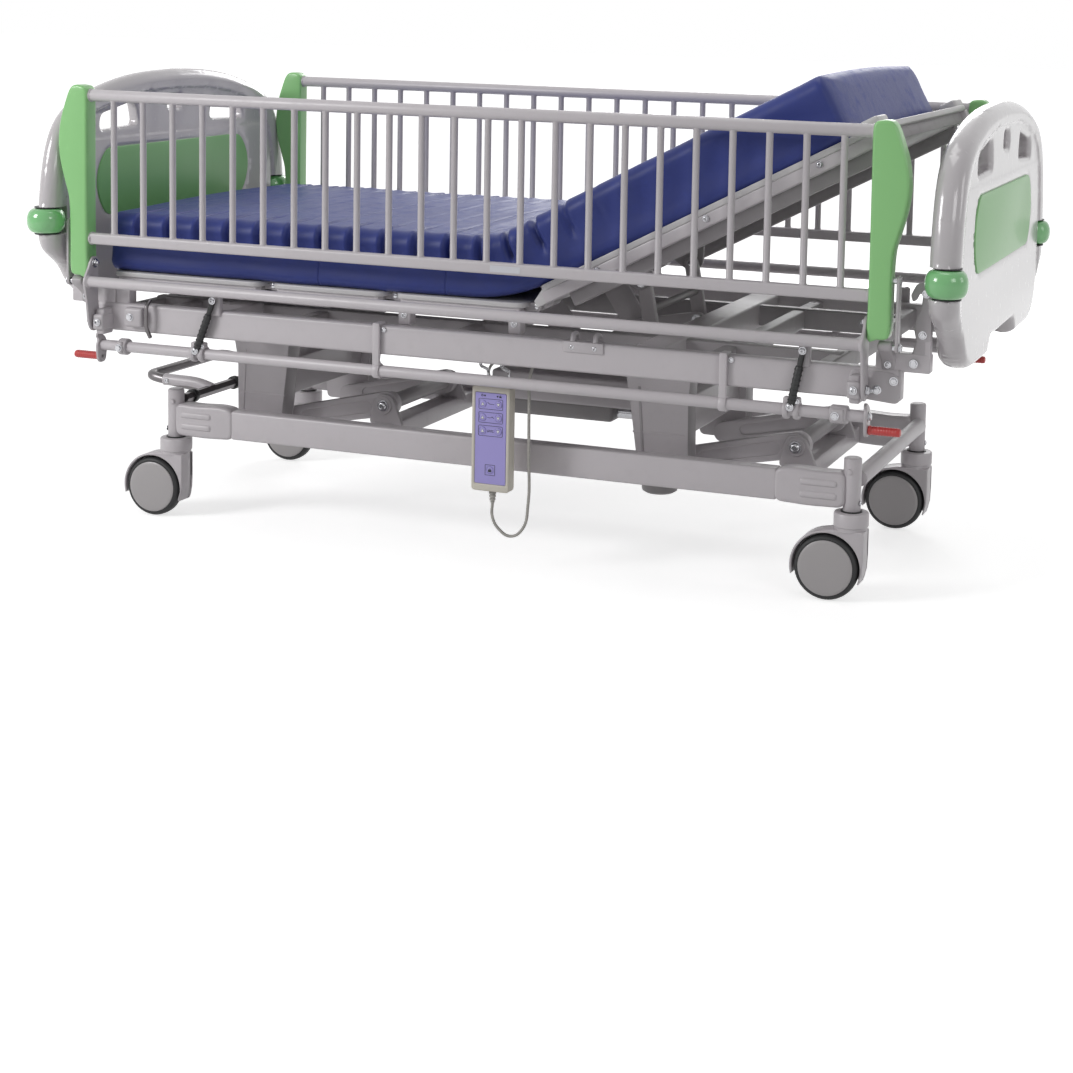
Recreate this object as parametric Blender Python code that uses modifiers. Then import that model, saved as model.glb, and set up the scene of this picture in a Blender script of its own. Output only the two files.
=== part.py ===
"""Electric youth bed on four casters: a lifting base, a hinged deck in four sections,
tall side guards that swing down, two end boards and a hand control on a cord.
The frame is +X to the head, +Z up, near side at -Y, origin on the floor at the middle."""
import bpy
import bmesh
from math import sin, cos, tan, radians, pi
from mathutils import Matrix, Vector

for old in list(bpy.data.objects):
    bpy.data.objects.remove(old, do_unlink=True)

# driving dimensions, metres
GAP = 0.0003              # air between solids that touch

CASTER_X, CASTER_Y = 0.735, 0.276
WHEEL_R, WHEEL_W = 0.0625, 0.030
TRAIL = 0.040             # wheel axle behind the swivel axis
FORK_Y = 0.017            # wheel centre plane to the swivel axis
COLLAR_LOW, COLLAR_TOP = 0.136, 0.168
POST_R, POST_TOP = 0.0155, 0.272

BASE_LOW, BASE_TOP = 0.178, 0.238
BASE_HALF_W = 0.018
BASE_JOINT_X = 0.592      # where the plain rail meets its corner bracket
CROSS_HALF_X = 0.025

ARM_DX, ARM_DZ = -0.240, -0.051        # lift arm, from its base pivot to its frame pivot
HEAD_ARM = (0.590, 0.252)              # base pivots, X and Z
FOOT_ARM = (-0.307, 0.252)
ARM_IN, ARM_OUT = 0.125, 0.145
LEG_IN, LEG_OUT = 0.165, 0.215

RAIL_IN, RAIL_OUT = 0.371, 0.401
RAIL_LOW, RAIL_TOP = 0.409, 0.467
RAIL_END = 0.845
# inner face, outer face and recess depth of the head (1) and foot (-1) board
BOARDS = {1: (0.900, 0.956, 0.012), -1: (0.905, 0.951, 0.009)}

DECK_LOW, DECK_TOP = 0.508, 0.528
DECK_HALF_W = 0.378
PIVOT_Z = 0.518
PIVOT_CLEAR = 0.014       # deck edge to hinge axis
HIP_X, THIGH_X, KNEE_X = 0.118, -0.185, -0.461
DECK_FOOT_X = -0.820
BACK_LEN = 0.775
BACK_TOP = 0.550                       # top of the back section when it lies flat
BACK_ANGLE = radians(27.5)             # back section in the stored pose
BACK_TRAVEL, THIGH_TRAVEL = radians(66.0), radians(32.0)

MATTRESS_T = 0.1232
BACK_PAD_T = 0.1342
MATTRESS_HALF_W = DECK_HALF_W - 0.001
MATTRESS_HEAD = 0.735     # along the back section, from the hip
GROOVE_PITCH = 0.060

CRANK = (0.140, 0.403)                 # back crank shaft, X and Z
CRANK_PIN = (0.286, 0.439)
LINK_EYE = (HIP_X + CRANK_PIN[0] - CRANK[0], PIVOT_Z + CRANK_PIN[1] - CRANK[1])

GUARD_X = -0.022          # middle of the side guards
LINK_Y = 0.425
SWING_Z, SWING_LEN = 0.430, 0.120      # lower pivot of the swing plates
LINK_RISE = 0.080                      # link arms sit this much higher
PLATE_X, PLATE_T = 0.8075, 0.006       # swing plates, measured from GUARD_X
ARM_X = 0.864                          # link arms, measured from GUARD_X
TUBE_Y, TUBE_Z = 0.445, 0.514
GUARD_TOP_Z, GUARD_LOW_Z = 0.892, 0.600
GUARD_TUBE_R, GUARD_RAIL_HALF = 0.012, 0.011
BARS, BAR_PITCH, BAR_R = 23, 0.0691, 0.0065
POST_IN, POST_HALF_Y, POST_FOOT_Z = 0.815, 0.018, 0.525
PIN_R, HOLE_R = 0.006, 0.0066

LATCH_Y, LATCH_Z, LATCH_R = 0.400, 0.377, 0.011

ROLLER_OUT = 0.005        # roller axis beyond the middle plane of its board
ROLLER_Y, ROLLER_R = 0.444, 0.0385
ROLLER_LOW, ROLLER_TOP = 0.608, 0.658

HEX_X, HEX_Z = -0.730, 0.246

HAND_X, HAND_Y, HAND_Z = 0.040, -0.365, 0.259
HAND_W, HAND_D, HAND_H = 0.080, 0.030, 0.208
KEY_R, KEY_PROUD = 0.007, 0.0015
CORD_R = 0.003

PARTS = bpy.data.collections.new("youth_bed")
CUTTERS = bpy.data.collections.new("cutters")
for group in (PARTS, CUTTERS):
    bpy.context.scene.collection.children.link(group)


def paint(name, colour, rough, metal=0.0):
    material = bpy.data.materials.new(name)
    material.use_nodes = True
    shader = material.node_tree.nodes["Principled BSDF"]
    shader.inputs["Base Color"].default_value = (*colour, 1.0)
    shader.inputs["Roughness"].default_value = rough
    shader.inputs["Metallic"].default_value = metal
    return material


FRAME = paint("grey powder coat", (0.50, 0.48, 0.49), 0.40)
STEEL = paint("bright steel", (0.55, 0.55, 0.55), 0.25, 1.0)
DARK_STEEL = paint("dark steel", (0.20, 0.20, 0.21), 0.35, 1.0)
GREEN = paint("green plastic", (0.19, 0.43, 0.13), 0.35)
BOARD = paint("grey board plastic", (0.42, 0.40, 0.41), 0.25)
BLUE = paint("blue cover", (0.06, 0.08, 0.27), 0.65)
TYRE = paint("black tyre", (0.03, 0.03, 0.03), 0.6)
RED = paint("red grip", (0.50, 0.04, 0.04), 0.45)
BEIGE = paint("beige shell", (0.68, 0.65, 0.58), 0.45)
LILAC = paint("lilac key", (0.32, 0.27, 0.62), 0.5)
CORD_GREY = paint("grey cord", (0.45, 0.44, 0.42), 0.6)
MOTOR_GREY = paint("motor grey", (0.36, 0.35, 0.36), 0.45)
LAMINATE = paint("pale deck laminate", (0.66, 0.65, 0.64), 0.4)


# making and joining
def place(name, data, material, collection=None):
    obj = bpy.data.objects.new(name, data)
    (collection or PARTS).objects.link(obj)
    data.materials.append(material)
    return obj


def bevelled(obj, width, segments=1):
    if width:
        bevel = obj.modifiers.new("rounded edges", "BEVEL")
        bevel.width = width
        bevel.segments = segments
        bevel.limit_method = "ANGLE"
        bevel.angle_limit = radians(40)
    return obj


def box(name, low, high, material, bevel=0.0, segments=1):
    mesh = bpy.data.meshes.new(name)
    bm = bmesh.new()
    bmesh.ops.create_cube(bm, size=1.0)
    size = [abs(high[i] - low[i]) for i in range(3)]
    bmesh.ops.scale(bm, vec=size, verts=bm.verts)
    bm.to_mesh(mesh)
    bm.free()
    obj = place(name, mesh, material)
    obj.location = [(low[i] + high[i]) / 2 for i in range(3)]
    return bevelled(obj, bevel, segments)


def side_box(name, side, x, y, z, material, bevel=0.0, segments=1):
    """A box given by its distances from the middle plane, on the near (-1) or far (1) side."""
    return box(name, (x[0], min(side * y[0], side * y[1]), z[0]),
               (x[1], max(side * y[0], side * y[1]), z[1]), material, bevel, segments)


def rod(name, start, end, radius, material, sides=16, radius_end=None, bevel=0.0):
    """A round bar from start to end."""
    start, end = Vector(start), Vector(end)
    mesh = bpy.data.meshes.new(name)
    bm = bmesh.new()
    bmesh.ops.create_cone(bm, cap_ends=True, segments=sides, radius1=radius,
                          radius2=radius if radius_end is None else radius_end,
                          depth=(end - start).length)
    bm.to_mesh(mesh)
    bm.free()
    mesh.shade_smooth()
    mesh.set_sharp_from_angle(angle=radians(40))
    obj = place(name, mesh, material)
    turn = (end - start).normalized().to_track_quat("Z", "Y").to_matrix().to_4x4()
    obj.matrix_world = Matrix.Translation((start + end) / 2) @ turn
    return bevelled(obj, bevel)


def as_mesh(curve):
    """The evaluated curve as a mesh object with its caps welded."""
    graph = bpy.context.evaluated_depsgraph_get()
    graph.update()
    mesh = bpy.data.meshes.new_from_object(curve.evaluated_get(graph))
    bm = bmesh.new()
    bm.from_mesh(mesh)
    bmesh.ops.remove_doubles(bm, verts=bm.verts, dist=0.00001)
    bm.to_mesh(mesh)
    bm.free()
    name, matrix = curve.name, curve.matrix_world.copy()
    bpy.data.objects.remove(curve, do_unlink=True)
    obj = bpy.data.objects.new(name, mesh)
    PARTS.objects.link(obj)
    obj.matrix_world = matrix
    return obj


def tube(name, points, radius, material, resolution=2, mesh=True):
    data = bpy.data.curves.new(name, "CURVE")
    data.dimensions = "3D"
    data.bevel_depth = radius
    data.bevel_resolution = resolution
    data.use_fill_caps = True
    line = data.splines.new("POLY")
    line.points.add(len(points) - 1)
    for slot, point in zip(line.points, points):
        slot.co = (*point, 1.0)
    obj = place(name, data, material)
    return as_mesh(obj) if mesh else obj


def plate(name, outline, thickness, across, centre, material, bevel=0.0, segments=1):
    """A flat outline given thickness. Across X it lies in Y and Z, across Y in X and Z,
    across Z in X and Y; centre is its place along that axis."""
    data = bpy.data.curves.new(name, "CURVE")
    data.dimensions = "2D"
    data.fill_mode = "BOTH"
    data.extrude = thickness / 2
    line = data.splines.new("POLY")
    line.points.add(len(outline) - 1)
    for slot, (u, v) in zip(line.points, outline):
        slot.co = (u, v, 0.0, 1.0)
    line.use_cyclic_u = True
    obj = place(name, data, material)
    if across == "X":
        obj.matrix_world = Matrix(((0, 0, 1, centre), (1, 0, 0, 0), (0, 1, 0, 0), (0, 0, 0, 1)))
    elif across == "Y":
        obj.matrix_world = Matrix(((1, 0, 0, 0), (0, 0, -1, centre), (0, 1, 0, 0), (0, 0, 0, 1)))
    else:
        obj.location = (0, 0, centre)
    bpy.context.view_layer.update()
    return bevelled(as_mesh(obj), bevel, segments)


def softened(corners, radius, steps=3):
    """The outline with every corner rounded to the radius, or to what its edges allow."""
    points = []
    count = len(corners)
    for i, corner in enumerate(corners):
        before = Vector(corners[i - 1]) - Vector(corner)
        after = Vector(corners[(i + 1) % count]) - Vector(corner)
        reach = min(radius, before.length * 0.45, after.length * 0.45)
        first = Vector(corner) + before.normalized() * reach
        last = Vector(corner) + after.normalized() * reach
        for k in range(steps + 1):
            t = k / steps
            point = (1 - t) ** 2 * first + 2 * t * (1 - t) * Vector(corner) + t * t * last
            points.append((point.x, point.y))
    return points


def turned(name, profile, axis_point, direction, material, steps=24):
    """A turned solid; profile is (radius, height) from its top to its bottom, and a ring's
    profile comes back to its first point."""
    ring = profile[0] == profile[-1]
    points = profile[:-1] if ring else profile
    edges = [(i, i + 1) for i in range(len(points) - 1)]
    if ring:
        edges.append((len(points) - 1, 0))
    mesh = bpy.data.meshes.new(name)
    mesh.from_pydata([(r, 0.0, h) for r, h in points], edges, [])
    obj = place(name, mesh, material)
    screw = obj.modifiers.new("turned", "SCREW")
    screw.angle = 2 * pi
    screw.steps = steps
    screw.render_steps = steps
    screw.use_merge_vertices = True
    screw.merge_threshold = 0.00001
    screw.use_smooth_shade = True
    turn = Vector(direction).to_track_quat("Z", "Y").to_matrix().to_4x4()
    obj.matrix_world = Matrix.Translation(axis_point) @ turn
    return obj


def as_tool(obj):
    """Moves an object out of the model, to the cutters."""
    PARTS.objects.unlink(obj)
    CUTTERS.objects.link(obj)
    obj.hide_render = True
    obj.display_type = "WIRE"
    return obj


def combine(obj, tools, operation):
    for tool in tools:
        as_tool(tool)
        boolean = obj.modifiers.new(tool.name, "BOOLEAN")
        boolean.operation = operation
        boolean.solver = "EXACT"
        boolean.object = tool
    return obj


def fuse(obj, *tools):
    return combine(obj, tools, "UNION")


def cut(obj, *tools):
    return combine(obj, tools, "DIFFERENCE")


def set_origin(obj, point):
    """Moves the object's origin to a point, here one on its joint axis."""
    bpy.context.view_layer.update()
    local = obj.matrix_world.inverted() @ Vector(point)
    obj.data.transform(Matrix.Translation(-local))
    obj.matrix_world = obj.matrix_world @ Matrix.Translation(local)
    return obj


def tilt(objects, pivot, angle):
    """Turns objects up about a hinge line along Y."""
    bpy.context.view_layer.update()
    centre = Vector((pivot[0], 0.0, pivot[1]))
    turn = (Matrix.Translation(centre) @ Matrix.Rotation(-angle, 4, "Y")
            @ Matrix.Translation(-centre))
    for obj in objects:
        obj.matrix_world = turn @ obj.matrix_world


def strap(start, end, radius_start, radius_end, steps=5):
    """Outline of a flat arm with a round end about each of two points."""
    a, b = Vector(start), Vector(end)
    along = (b - a).normalized()
    across = Vector((-along.y, along.x))
    points = []
    for centre, radius, sign in ((a, radius_start, -1), (b, radius_end, 1)):
        for k in range(steps + 1):
            angle = -pi / 2 + pi * k / steps
            point = centre + sign * (cos(angle) * along * radius + sin(angle) * across * radius)
            points.append((point.x, point.y))
    return points


# base, brake and casters
def base_rail(name, side):
    y = side * CASTER_Y
    rail = side_box(name, side, (-BASE_JOINT_X, BASE_JOINT_X),
                    (CASTER_Y - BASE_HALF_W, CASTER_Y + BASE_HALF_W), (BASE_LOW, BASE_TOP),
                    FRAME, 0.003)
    extras = []
    for end in (-1, 1):
        outline = [(end * (BASE_JOINT_X - 0.02), BASE_LOW - 0.004),
                   (end * (CASTER_X + 0.014), BASE_LOW + 0.004),
                   (end * (CASTER_X + 0.014), BASE_TOP + 0.008),
                   (end * (BASE_JOINT_X + 0.045), BASE_TOP + 0.010),
                   (end * (BASE_JOINT_X - 0.02), BASE_TOP + 0.002)]
        extras.append(plate(f"{name} corner {end}", outline, 2 * BASE_HALF_W + 0.008, "Y", y,
                            FRAME, 0.004))
        extras.append(rod(f"{name} post {end}", (end * CASTER_X, y, COLLAR_TOP + GAP),
                          (end * CASTER_X, y, POST_TOP), POST_R, FRAME, 12, bevel=0.003))
    return fuse(rail, *extras)


def base_cross(name, x, half_y):
    """Cross member that carries the two lift arm brackets."""
    beam = box(name, (x - CROSS_HALF_X, -half_y, BASE_LOW),
               (x + CROSS_HALF_X, half_y, BASE_LOW + 0.036), FRAME)
    pivot_z = HEAD_ARM[1]
    for side in (-1, 1):
        ear = plate(f"{name} ear {side}",
                    softened([(x - 0.045, BASE_LOW + 0.031), (x + 0.045, BASE_LOW + 0.031),
                              (x + 0.022, pivot_z + 0.026), (x - 0.022, pivot_z + 0.026)], 0.02, 2),
                    0.010, "Y", side * 0.153, FRAME)
        fuse(beam, ear)
        cut(beam, rod(f"{name} bore {side}", (x, side * 0.140, pivot_z),
                      (x, side * 0.170, pivot_z), 0.0086, FRAME, 12))
    return beam


for side_name, side in (("near", -1), ("far", 1)):
    base_rail(f"base_rail_{side_name}", side)
bracket_y = CASTER_Y - BASE_HALF_W - 0.004 - GAP
rod("base_head_tube", (0.742, -bracket_y, 0.227), (0.742, bracket_y, 0.227), 0.016, FRAME, 16)
base_cross("base_cross_head", HEAD_ARM[0], bracket_y)
base_cross("base_cross_foot", FOOT_ARM[0], CASTER_Y - BASE_HALF_W - GAP)

brake = rod("brake_bar", (HEX_X, -bracket_y, HEX_Z), (HEX_X, bracket_y, HEX_Z), 0.011,
            DARK_STEEL, 6)
loop = [(HEX_X, -0.150, HEX_Z), (-0.840, -0.150, 0.258), (-0.868, -0.146, 0.262),
        (-0.884, -0.132, 0.264), (-0.890, -0.110, 0.265), (-0.890, 0.110, 0.265),
        (-0.884, 0.132, 0.264), (-0.868, 0.146, 0.262), (-0.840, 0.150, 0.258),
        (HEX_X, 0.150, HEX_Z)]
fuse(brake, tube("brake pedal loop", loop, 0.008, STEEL))
set_origin(brake, (HEX_X, 0.0, HEX_Z))


def caster(end_name, end, side_name, side):
    x, y = end * CASTER_X, side * CASTER_Y
    axle_x, axle_z, wheel_y = x - TRAIL, WHEEL_R, y - FORK_Y
    fork = turned(f"caster_fork_{end_name}_{side_name}",
                  [(0.0, COLLAR_TOP), (0.026, COLLAR_TOP), (0.033, COLLAR_TOP - 0.007),
                   (0.036, COLLAR_TOP - 0.018), (0.034, COLLAR_LOW), (0.0, COLLAR_LOW)],
                  (x, y, 0.0), (0, 0, 1), FRAME, 16)
    inner, outer = wheel_y + WHEEL_W / 2 + 0.002, y + 0.016
    arm = plate(f"caster arm {end_name} {side_name}",
                strap((axle_x, axle_z), (x - 0.004, COLLAR_LOW + 0.004), 0.034, 0.026, 4),
                outer - inner, "Y", (inner + outer) / 2, FRAME, 0.004)
    stub = rod(f"caster stub {end_name} {side_name}", (axle_x, inner + 0.004, axle_z),
               (axle_x, wheel_y - WHEEL_W / 2 + 0.006, axle_z), 0.008, FRAME, 12)
    fuse(fork, arm, stub)
    half = WHEEL_W / 2
    wheel = turned(f"caster_wheel_{end_name}_{side_name}",
                   [(0.0, half + 0.002), (0.030, half + 0.0015), (0.048, half - 0.0025),
                    (0.057, half - 0.001), (0.0612, half - 0.007), (WHEEL_R, 0.0),
                    (0.0612, -half + 0.007), (0.057, -half + 0.001), (0.0084, -half + 0.003),
                    (0.0084, half - 0.0055), (0.0, half - 0.0055)],
                   (axle_x, wheel_y, axle_z), (0, -1, 0), TYRE, 22)
    return fork, wheel


for end_name, end in (("foot", -1), ("head", 1)):
    for side_name, side in (("near", -1), ("far", 1)):
        caster(end_name, end, side_name, side)


# lift arms and upper frame
def lift_arms(name, pivot):
    x, z = pivot
    low = (x + ARM_DX, z + ARM_DZ)
    arms = rod(name, (x, -0.158, z), (x, 0.158, z), 0.008, FRAME, 12)
    fuse(arms, rod(f"{name} shaft", (x, -0.1465, z), (x, 0.1465, z), 0.016, FRAME, 12))
    for side in (-1, 1):
        arm = plate(f"{name} {side}", strap(pivot, low, 0.026, 0.022, 4), ARM_OUT - ARM_IN, "Y",
                    side * (ARM_IN + ARM_OUT) / 2, FRAME)
        pin = rod(f"{name} pin {side}", (low[0], side * (ARM_IN + 0.004), low[1]),
                  (low[0], side * 0.177, low[1]), 0.008, FRAME, 12)
        fuse(arms, arm, pin)
    return set_origin(arms, (x, 0.0, z))


lift_arms("lift_arms_head", HEAD_ARM)
lift_arms("lift_arms_foot", FOOT_ARM)


def leg_yoke(name, pivot, top, foot, cross_x, web_x):
    """Two tapered folded legs under a cross member, with a web between them."""
    low_x, low_z = pivot[0] + ARM_DX, pivot[1] + ARM_DZ
    yoke = box(name, (cross_x[0], -RAIL_IN + GAP, RAIL_LOW - 0.004),
               (cross_x[1], RAIL_IN - GAP, RAIL_TOP), FRAME, 0.003)
    fuse(yoke, box(f"{name} web", (web_x[0], -LEG_IN - 0.004, 0.252),
                   (web_x[1], LEG_IN + 0.004, 0.330), FRAME))
    for side in (-1, 1):
        leg = plate(f"{name} leg {side}",
                    softened([(top[0], RAIL_LOW - 0.002), (top[1], RAIL_LOW - 0.002),
                              (top[1] - 0.006, 0.330), (foot[1], low_z - 0.018),
                              (foot[0], low_z - 0.018), (top[0] + 0.014, 0.330)], 0.012, 2),
                    LEG_OUT - LEG_IN, "Y", side * (LEG_IN + LEG_OUT) / 2, FRAME, 0.004)
        fuse(yoke, leg)
        cut(yoke, rod(f"{name} bore {side}", (low_x, side * (LEG_IN - 0.006), low_z),
                      (low_x, side * 0.180, low_z), 0.0086, FRAME, 12))
    return yoke


leg_yoke("leg_yoke_head", HEAD_ARM, (0.250, 0.392), (0.285, 0.388), (0.332, 0.392),
         (0.300, 0.370))
leg_yoke("leg_yoke_foot", FOOT_ARM, (-0.637, -0.499), (-0.622, -0.522), (-0.600, -0.540),
         (-0.600, -0.535))

drive = box("drive_beam", (-0.110, -0.050, 0.235), (0.300 - GAP, 0.050, 0.328), MOTOR_GREY,
            0.006, 2)
fuse(drive, rod("drive motor", (0.255, 0.0, 0.245), (0.255, 0.0, 0.092), 0.038, MOTOR_GREY, 20,
                bevel=0.006))


def guard_x(end, distance):
    """World X at a distance from the middle of the guards, at the foot (-1) or head (1)."""
    return GUARD_X + end * distance


def guard_span(end, a, b):
    return sorted((guard_x(end, a), guard_x(end, b)))


def main_rail(name, side):
    rail = side_box(name, side, (-RAIL_END, RAIL_END), (RAIL_IN, RAIL_OUT),
                    (RAIL_LOW, RAIL_TOP), FRAME, 0.003)
    extras = []
    for end in (-1, 1):
        tag = f"{name} {end}"
        board_x = BOARDS[end][0]
        extras.append(side_box(f"{tag} carrier", side,
                               sorted((end * 0.800, end * (board_x - GAP))),
                               (0.373, RAIL_OUT - 0.003), (RAIL_TOP - 0.004, 0.497), FRAME))
        extras.append(side_box(f"{tag} upright", side,
                               sorted((end * (board_x - 0.012), end * (board_x - GAP))),
                               (0.381, RAIL_OUT - 0.003), (RAIL_TOP, 0.606), FRAME))
        extras.append(side_box(f"{tag} board pad", side,
                               sorted((end * (board_x - 0.002),
                                       end * (board_x + BOARDS[end][2] - GAP))),
                               (0.382, RAIL_OUT - 0.004), (0.576, 0.604), FRAME))
        extras.append(side_box(f"{tag} pivot block", side, guard_span(end, 0.780, 0.806),
                               (RAIL_OUT - 0.004, 0.438), (0.414, 0.446), FRAME))
        extras.append(rod(f"{tag} pivot pin", (guard_x(end, 0.790), side * LINK_Y, SWING_Z),
                          (guard_x(end, 0.8205), side * LINK_Y, SWING_Z), PIN_R, STEEL, 8))
        link_z = SWING_Z + LINK_RISE
        casting = plate(f"{tag} casting",
                        [(side * 0.375, RAIL_TOP - 0.006), (side * 0.398, RAIL_TOP - 0.006),
                         (side * 0.402, 0.482), (side * 0.434, 0.505), (side * 0.4345, 0.514),
                         (side * 0.428, 0.5195), (side * 0.414, 0.5185), (side * 0.385, 0.500),
                         (side * 0.375, 0.485)],
                        0.026, "X", guard_x(end, 0.846), FRAME)
        extras.append(casting)
        extras.append(rod(f"{tag} link pin", (guard_x(end, 0.850), side * LINK_Y, link_z),
                          (guard_x(end, 0.8755), side * LINK_Y, link_z), PIN_R, STEEL, 8))
    for number, x in enumerate((-0.194, 0.518)):
        extras.append(side_box(f"{name} hook {number}", side, (x - 0.005, x + 0.005),
                               (0.384, 0.4065), (RAIL_TOP - 0.004, RAIL_TOP + 0.006), FRAME))
        extras.append(rod(f"{name} hanger {number}", (x, side * 0.4065, RAIL_TOP + 0.0055),
                          (x, side * 0.4065, LATCH_Z + 0.012), 0.0048, FRAME, 8))
        extras.append(rod(f"{name} hanger ring {number}", (x - 0.007, side * LATCH_Y, LATCH_Z),
                          (x + 0.007, side * LATCH_Y, LATCH_Z), 0.0165, FRAME, 12))
    for number, (top_x, low_x) in enumerate(((-0.558, -0.598), (0.670, 0.649))):
        extras.append(side_box(f"{name} stay bracket {number}", side,
                               (top_x - 0.011, top_x + 0.011), (0.392, 0.412),
                               (RAIL_TOP - 0.010, 0.500), FRAME))
        extras.append(rod(f"{name} stay {number}", (low_x, side * 0.4095, LATCH_Z + 0.004),
                          (top_x, side * 0.4095, 0.492), 0.0065, DARK_STEEL, 8))
        extras.append(side_box(f"{name} saddle {number}", side,
                               (low_x - 0.017, low_x + 0.017), (0.385, 0.417),
                               (LATCH_Z - 0.015, LATCH_Z + 0.016), FRAME))
    extras.append(side_box(f"{name} leg rest", side, (-0.800, -0.766), (RAIL_IN, 0.396),
                           (RAIL_TOP - 0.003, DECK_LOW - GAP), FRAME))
    fuse(rail, *extras)
    cut(rail, rod(f"{name} shaft bore", (-0.700, side * LATCH_Y, LATCH_Z),
                  (0.740, side * LATCH_Y, LATCH_Z), LATCH_R + 0.0006, FRAME, 12))
    return rail


near_rail = main_rail("main_rail_near", -1)
main_rail("main_rail_far", 1)

# wire stirrup that the hand control hooks on, under the near rail
stirrup = []
for side in (-1, 1):
    x = HAND_X + side * 0.022
    stirrup += [[(x, -0.382, RAIL_LOW + 0.004), (x, -0.378, 0.401), (x, -0.346, 0.388),
                 (x, -0.343, 0.380), (x, -0.343, 0.350)]]
wire = stirrup[0] + [(HAND_X - 0.019, -0.343, 0.346), (HAND_X + 0.019, -0.343, 0.346)]
wire += list(reversed(stirrup[1]))
fuse(near_rail, tube("stirrup", wire, 0.003, STEEL))


# deck sections
def hinge_parent(deck, name, x, sign):
    """Ears and pins on the fixed side of a deck hinge; sign points to the moving side."""
    for side in (-1, 1):
        inner = x - sign * (PIVOT_CLEAR + 0.012)
        ear = plate(f"{name} ear {side}",
                    strap((inner, PIVOT_Z - 0.001), (x, PIVOT_Z - 0.001), 0.0085, 0.0085, 3),
                    0.010, "Y", side * 0.340, FRAME)
        pin = rod(f"{name} pin {side}", (x, side * 0.342, PIVOT_Z), (x, side * 0.302, PIVOT_Z),
                  0.005, STEEL, 8)
        fuse(deck, ear, pin)


def hinge_child(deck, name, x, sign):
    """Barrels on the moving side of a deck hinge."""
    for side in (-1, 1):
        inner = x + sign * (PIVOT_CLEAR + 0.012)
        barrel = plate(f"{name} barrel {side}",
                       strap((inner, PIVOT_Z - 0.001), (x, PIVOT_Z), 0.0085, 0.0095, 4),
                       0.034, "Y", side * 0.317, FRAME)
        fuse(deck, barrel)
        cut(deck, rod(f"{name} bore {side}", (x, side * 0.296, PIVOT_Z),
                      (x, side * 0.338, PIVOT_Z), 0.0056, FRAME, 8))


def deck_plate(name, low_x, high_x):
    return box(name, (low_x, -DECK_HALF_W, DECK_LOW), (high_x, DECK_HALF_W, DECK_TOP),
               LAMINATE, 0.005)


seat = deck_plate("deck_seat", THIGH_X + PIVOT_CLEAR, HIP_X - PIVOT_CLEAR)
for side in (-1, 1):
    for x in (-0.150, 0.085):
        fuse(seat, side_box(f"seat post {x} {side}", side, (x - 0.013, x + 0.013),
                            (DECK_HALF_W - 0.028, RAIL_IN + 0.005),
                            (RAIL_TOP + GAP, DECK_LOW + 0.004), FRAME))
    hanger = plate(f"crank hanger {side}",
                   softened([(0.030, DECK_LOW + 0.006), (0.098, DECK_LOW + 0.006),
                             (0.162, CRANK[1] + 0.014), (0.162, CRANK[1] - 0.022),
                             (0.118, CRANK[1] - 0.022)], 0.012, 2),
                   0.008, "Y", side * 0.172, FRAME)
    fuse(seat, hanger)
    cut(seat, rod(f"crank hanger bore {side}", (CRANK[0], side * 0.160, CRANK[1]),
                  (CRANK[0], side * 0.184, CRANK[1]), 0.0106, FRAME, 12))
hinge_parent(seat, "hip", HIP_X, 1)
hinge_parent(seat, "thigh hinge", THIGH_X, -1)

thigh = deck_plate("deck_thigh", KNEE_X + PIVOT_CLEAR, THIGH_X - PIVOT_CLEAR)
hinge_child(thigh, "thigh hinge", THIGH_X, -1)
hinge_parent(thigh, "knee", KNEE_X, -1)
set_origin(thigh, (THIGH_X, 0.0, PIVOT_Z))

leg = deck_plate("deck_leg", DECK_FOOT_X, KNEE_X - PIVOT_CLEAR)
hinge_child(leg, "knee", KNEE_X, -1)
set_origin(leg, (KNEE_X, 0.0, PIVOT_Z))

back = plate("deck_back",
             [(HIP_X + PIVOT_CLEAR, PIVOT_Z - 0.004), (HIP_X + BACK_LEN, PIVOT_Z - 0.004),
              (HIP_X + BACK_LEN, BACK_TOP), (HIP_X + 0.050, BACK_TOP),
              (HIP_X + PIVOT_CLEAR, DECK_TOP + 0.002)], 2 * DECK_HALF_W, "Y", 0.0, LAMINATE,
             0.004)
back_tools = []
for side in (-1, 1):
    back_tools.append(side_box(f"back channel {side}", side, (HIP_X + 0.075, HIP_X + 0.745),
                               (0.322, 0.350), (0.488, DECK_LOW + 0.012), FRAME))
    back_tools.append(side_box(f"back end block {side}", side,
                               (HIP_X + BACK_LEN - 0.040, HIP_X + BACK_LEN - 0.002),
                               (0.300, DECK_HALF_W - 0.004), (BACK_TOP - 0.004, BACK_TOP + 0.016),
                               FRAME, 0.005))
    start = Vector((LINK_EYE[0] - HIP_X, LINK_EYE[1] - PIVOT_Z))
    flat = Matrix.Rotation(-BACK_ANGLE, 2) @ start
    eye = (HIP_X + flat.x, PIVOT_Z + flat.y)
    back_tools.append(plate(f"back lobe {side}",
                            softened([(eye[0] - 0.045, DECK_LOW + 0.012),
                                      (eye[0] + 0.045, DECK_LOW + 0.012),
                                      (eye[0] + 0.016, eye[1] - 0.015),
                                      (eye[0] - 0.016, eye[1] - 0.015)], 0.014, 2),
                            0.008, "Y", side * 0.159, FRAME))
    back_tools.append(rod(f"back lobe pin {side}", (eye[0], side * 0.161, eye[1]),
                          (eye[0], side * 0.137, eye[1]), PIN_R, STEEL, 8))
fuse(back, *back_tools)
hinge_child(back, "hip", HIP_X, 1)
tilt([back] + [m.object for m in back.modifiers if m.type == "BOOLEAN"], (HIP_X, PIVOT_Z),
     BACK_ANGLE)
set_origin(back, (HIP_X, 0.0, PIVOT_Z))

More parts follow.
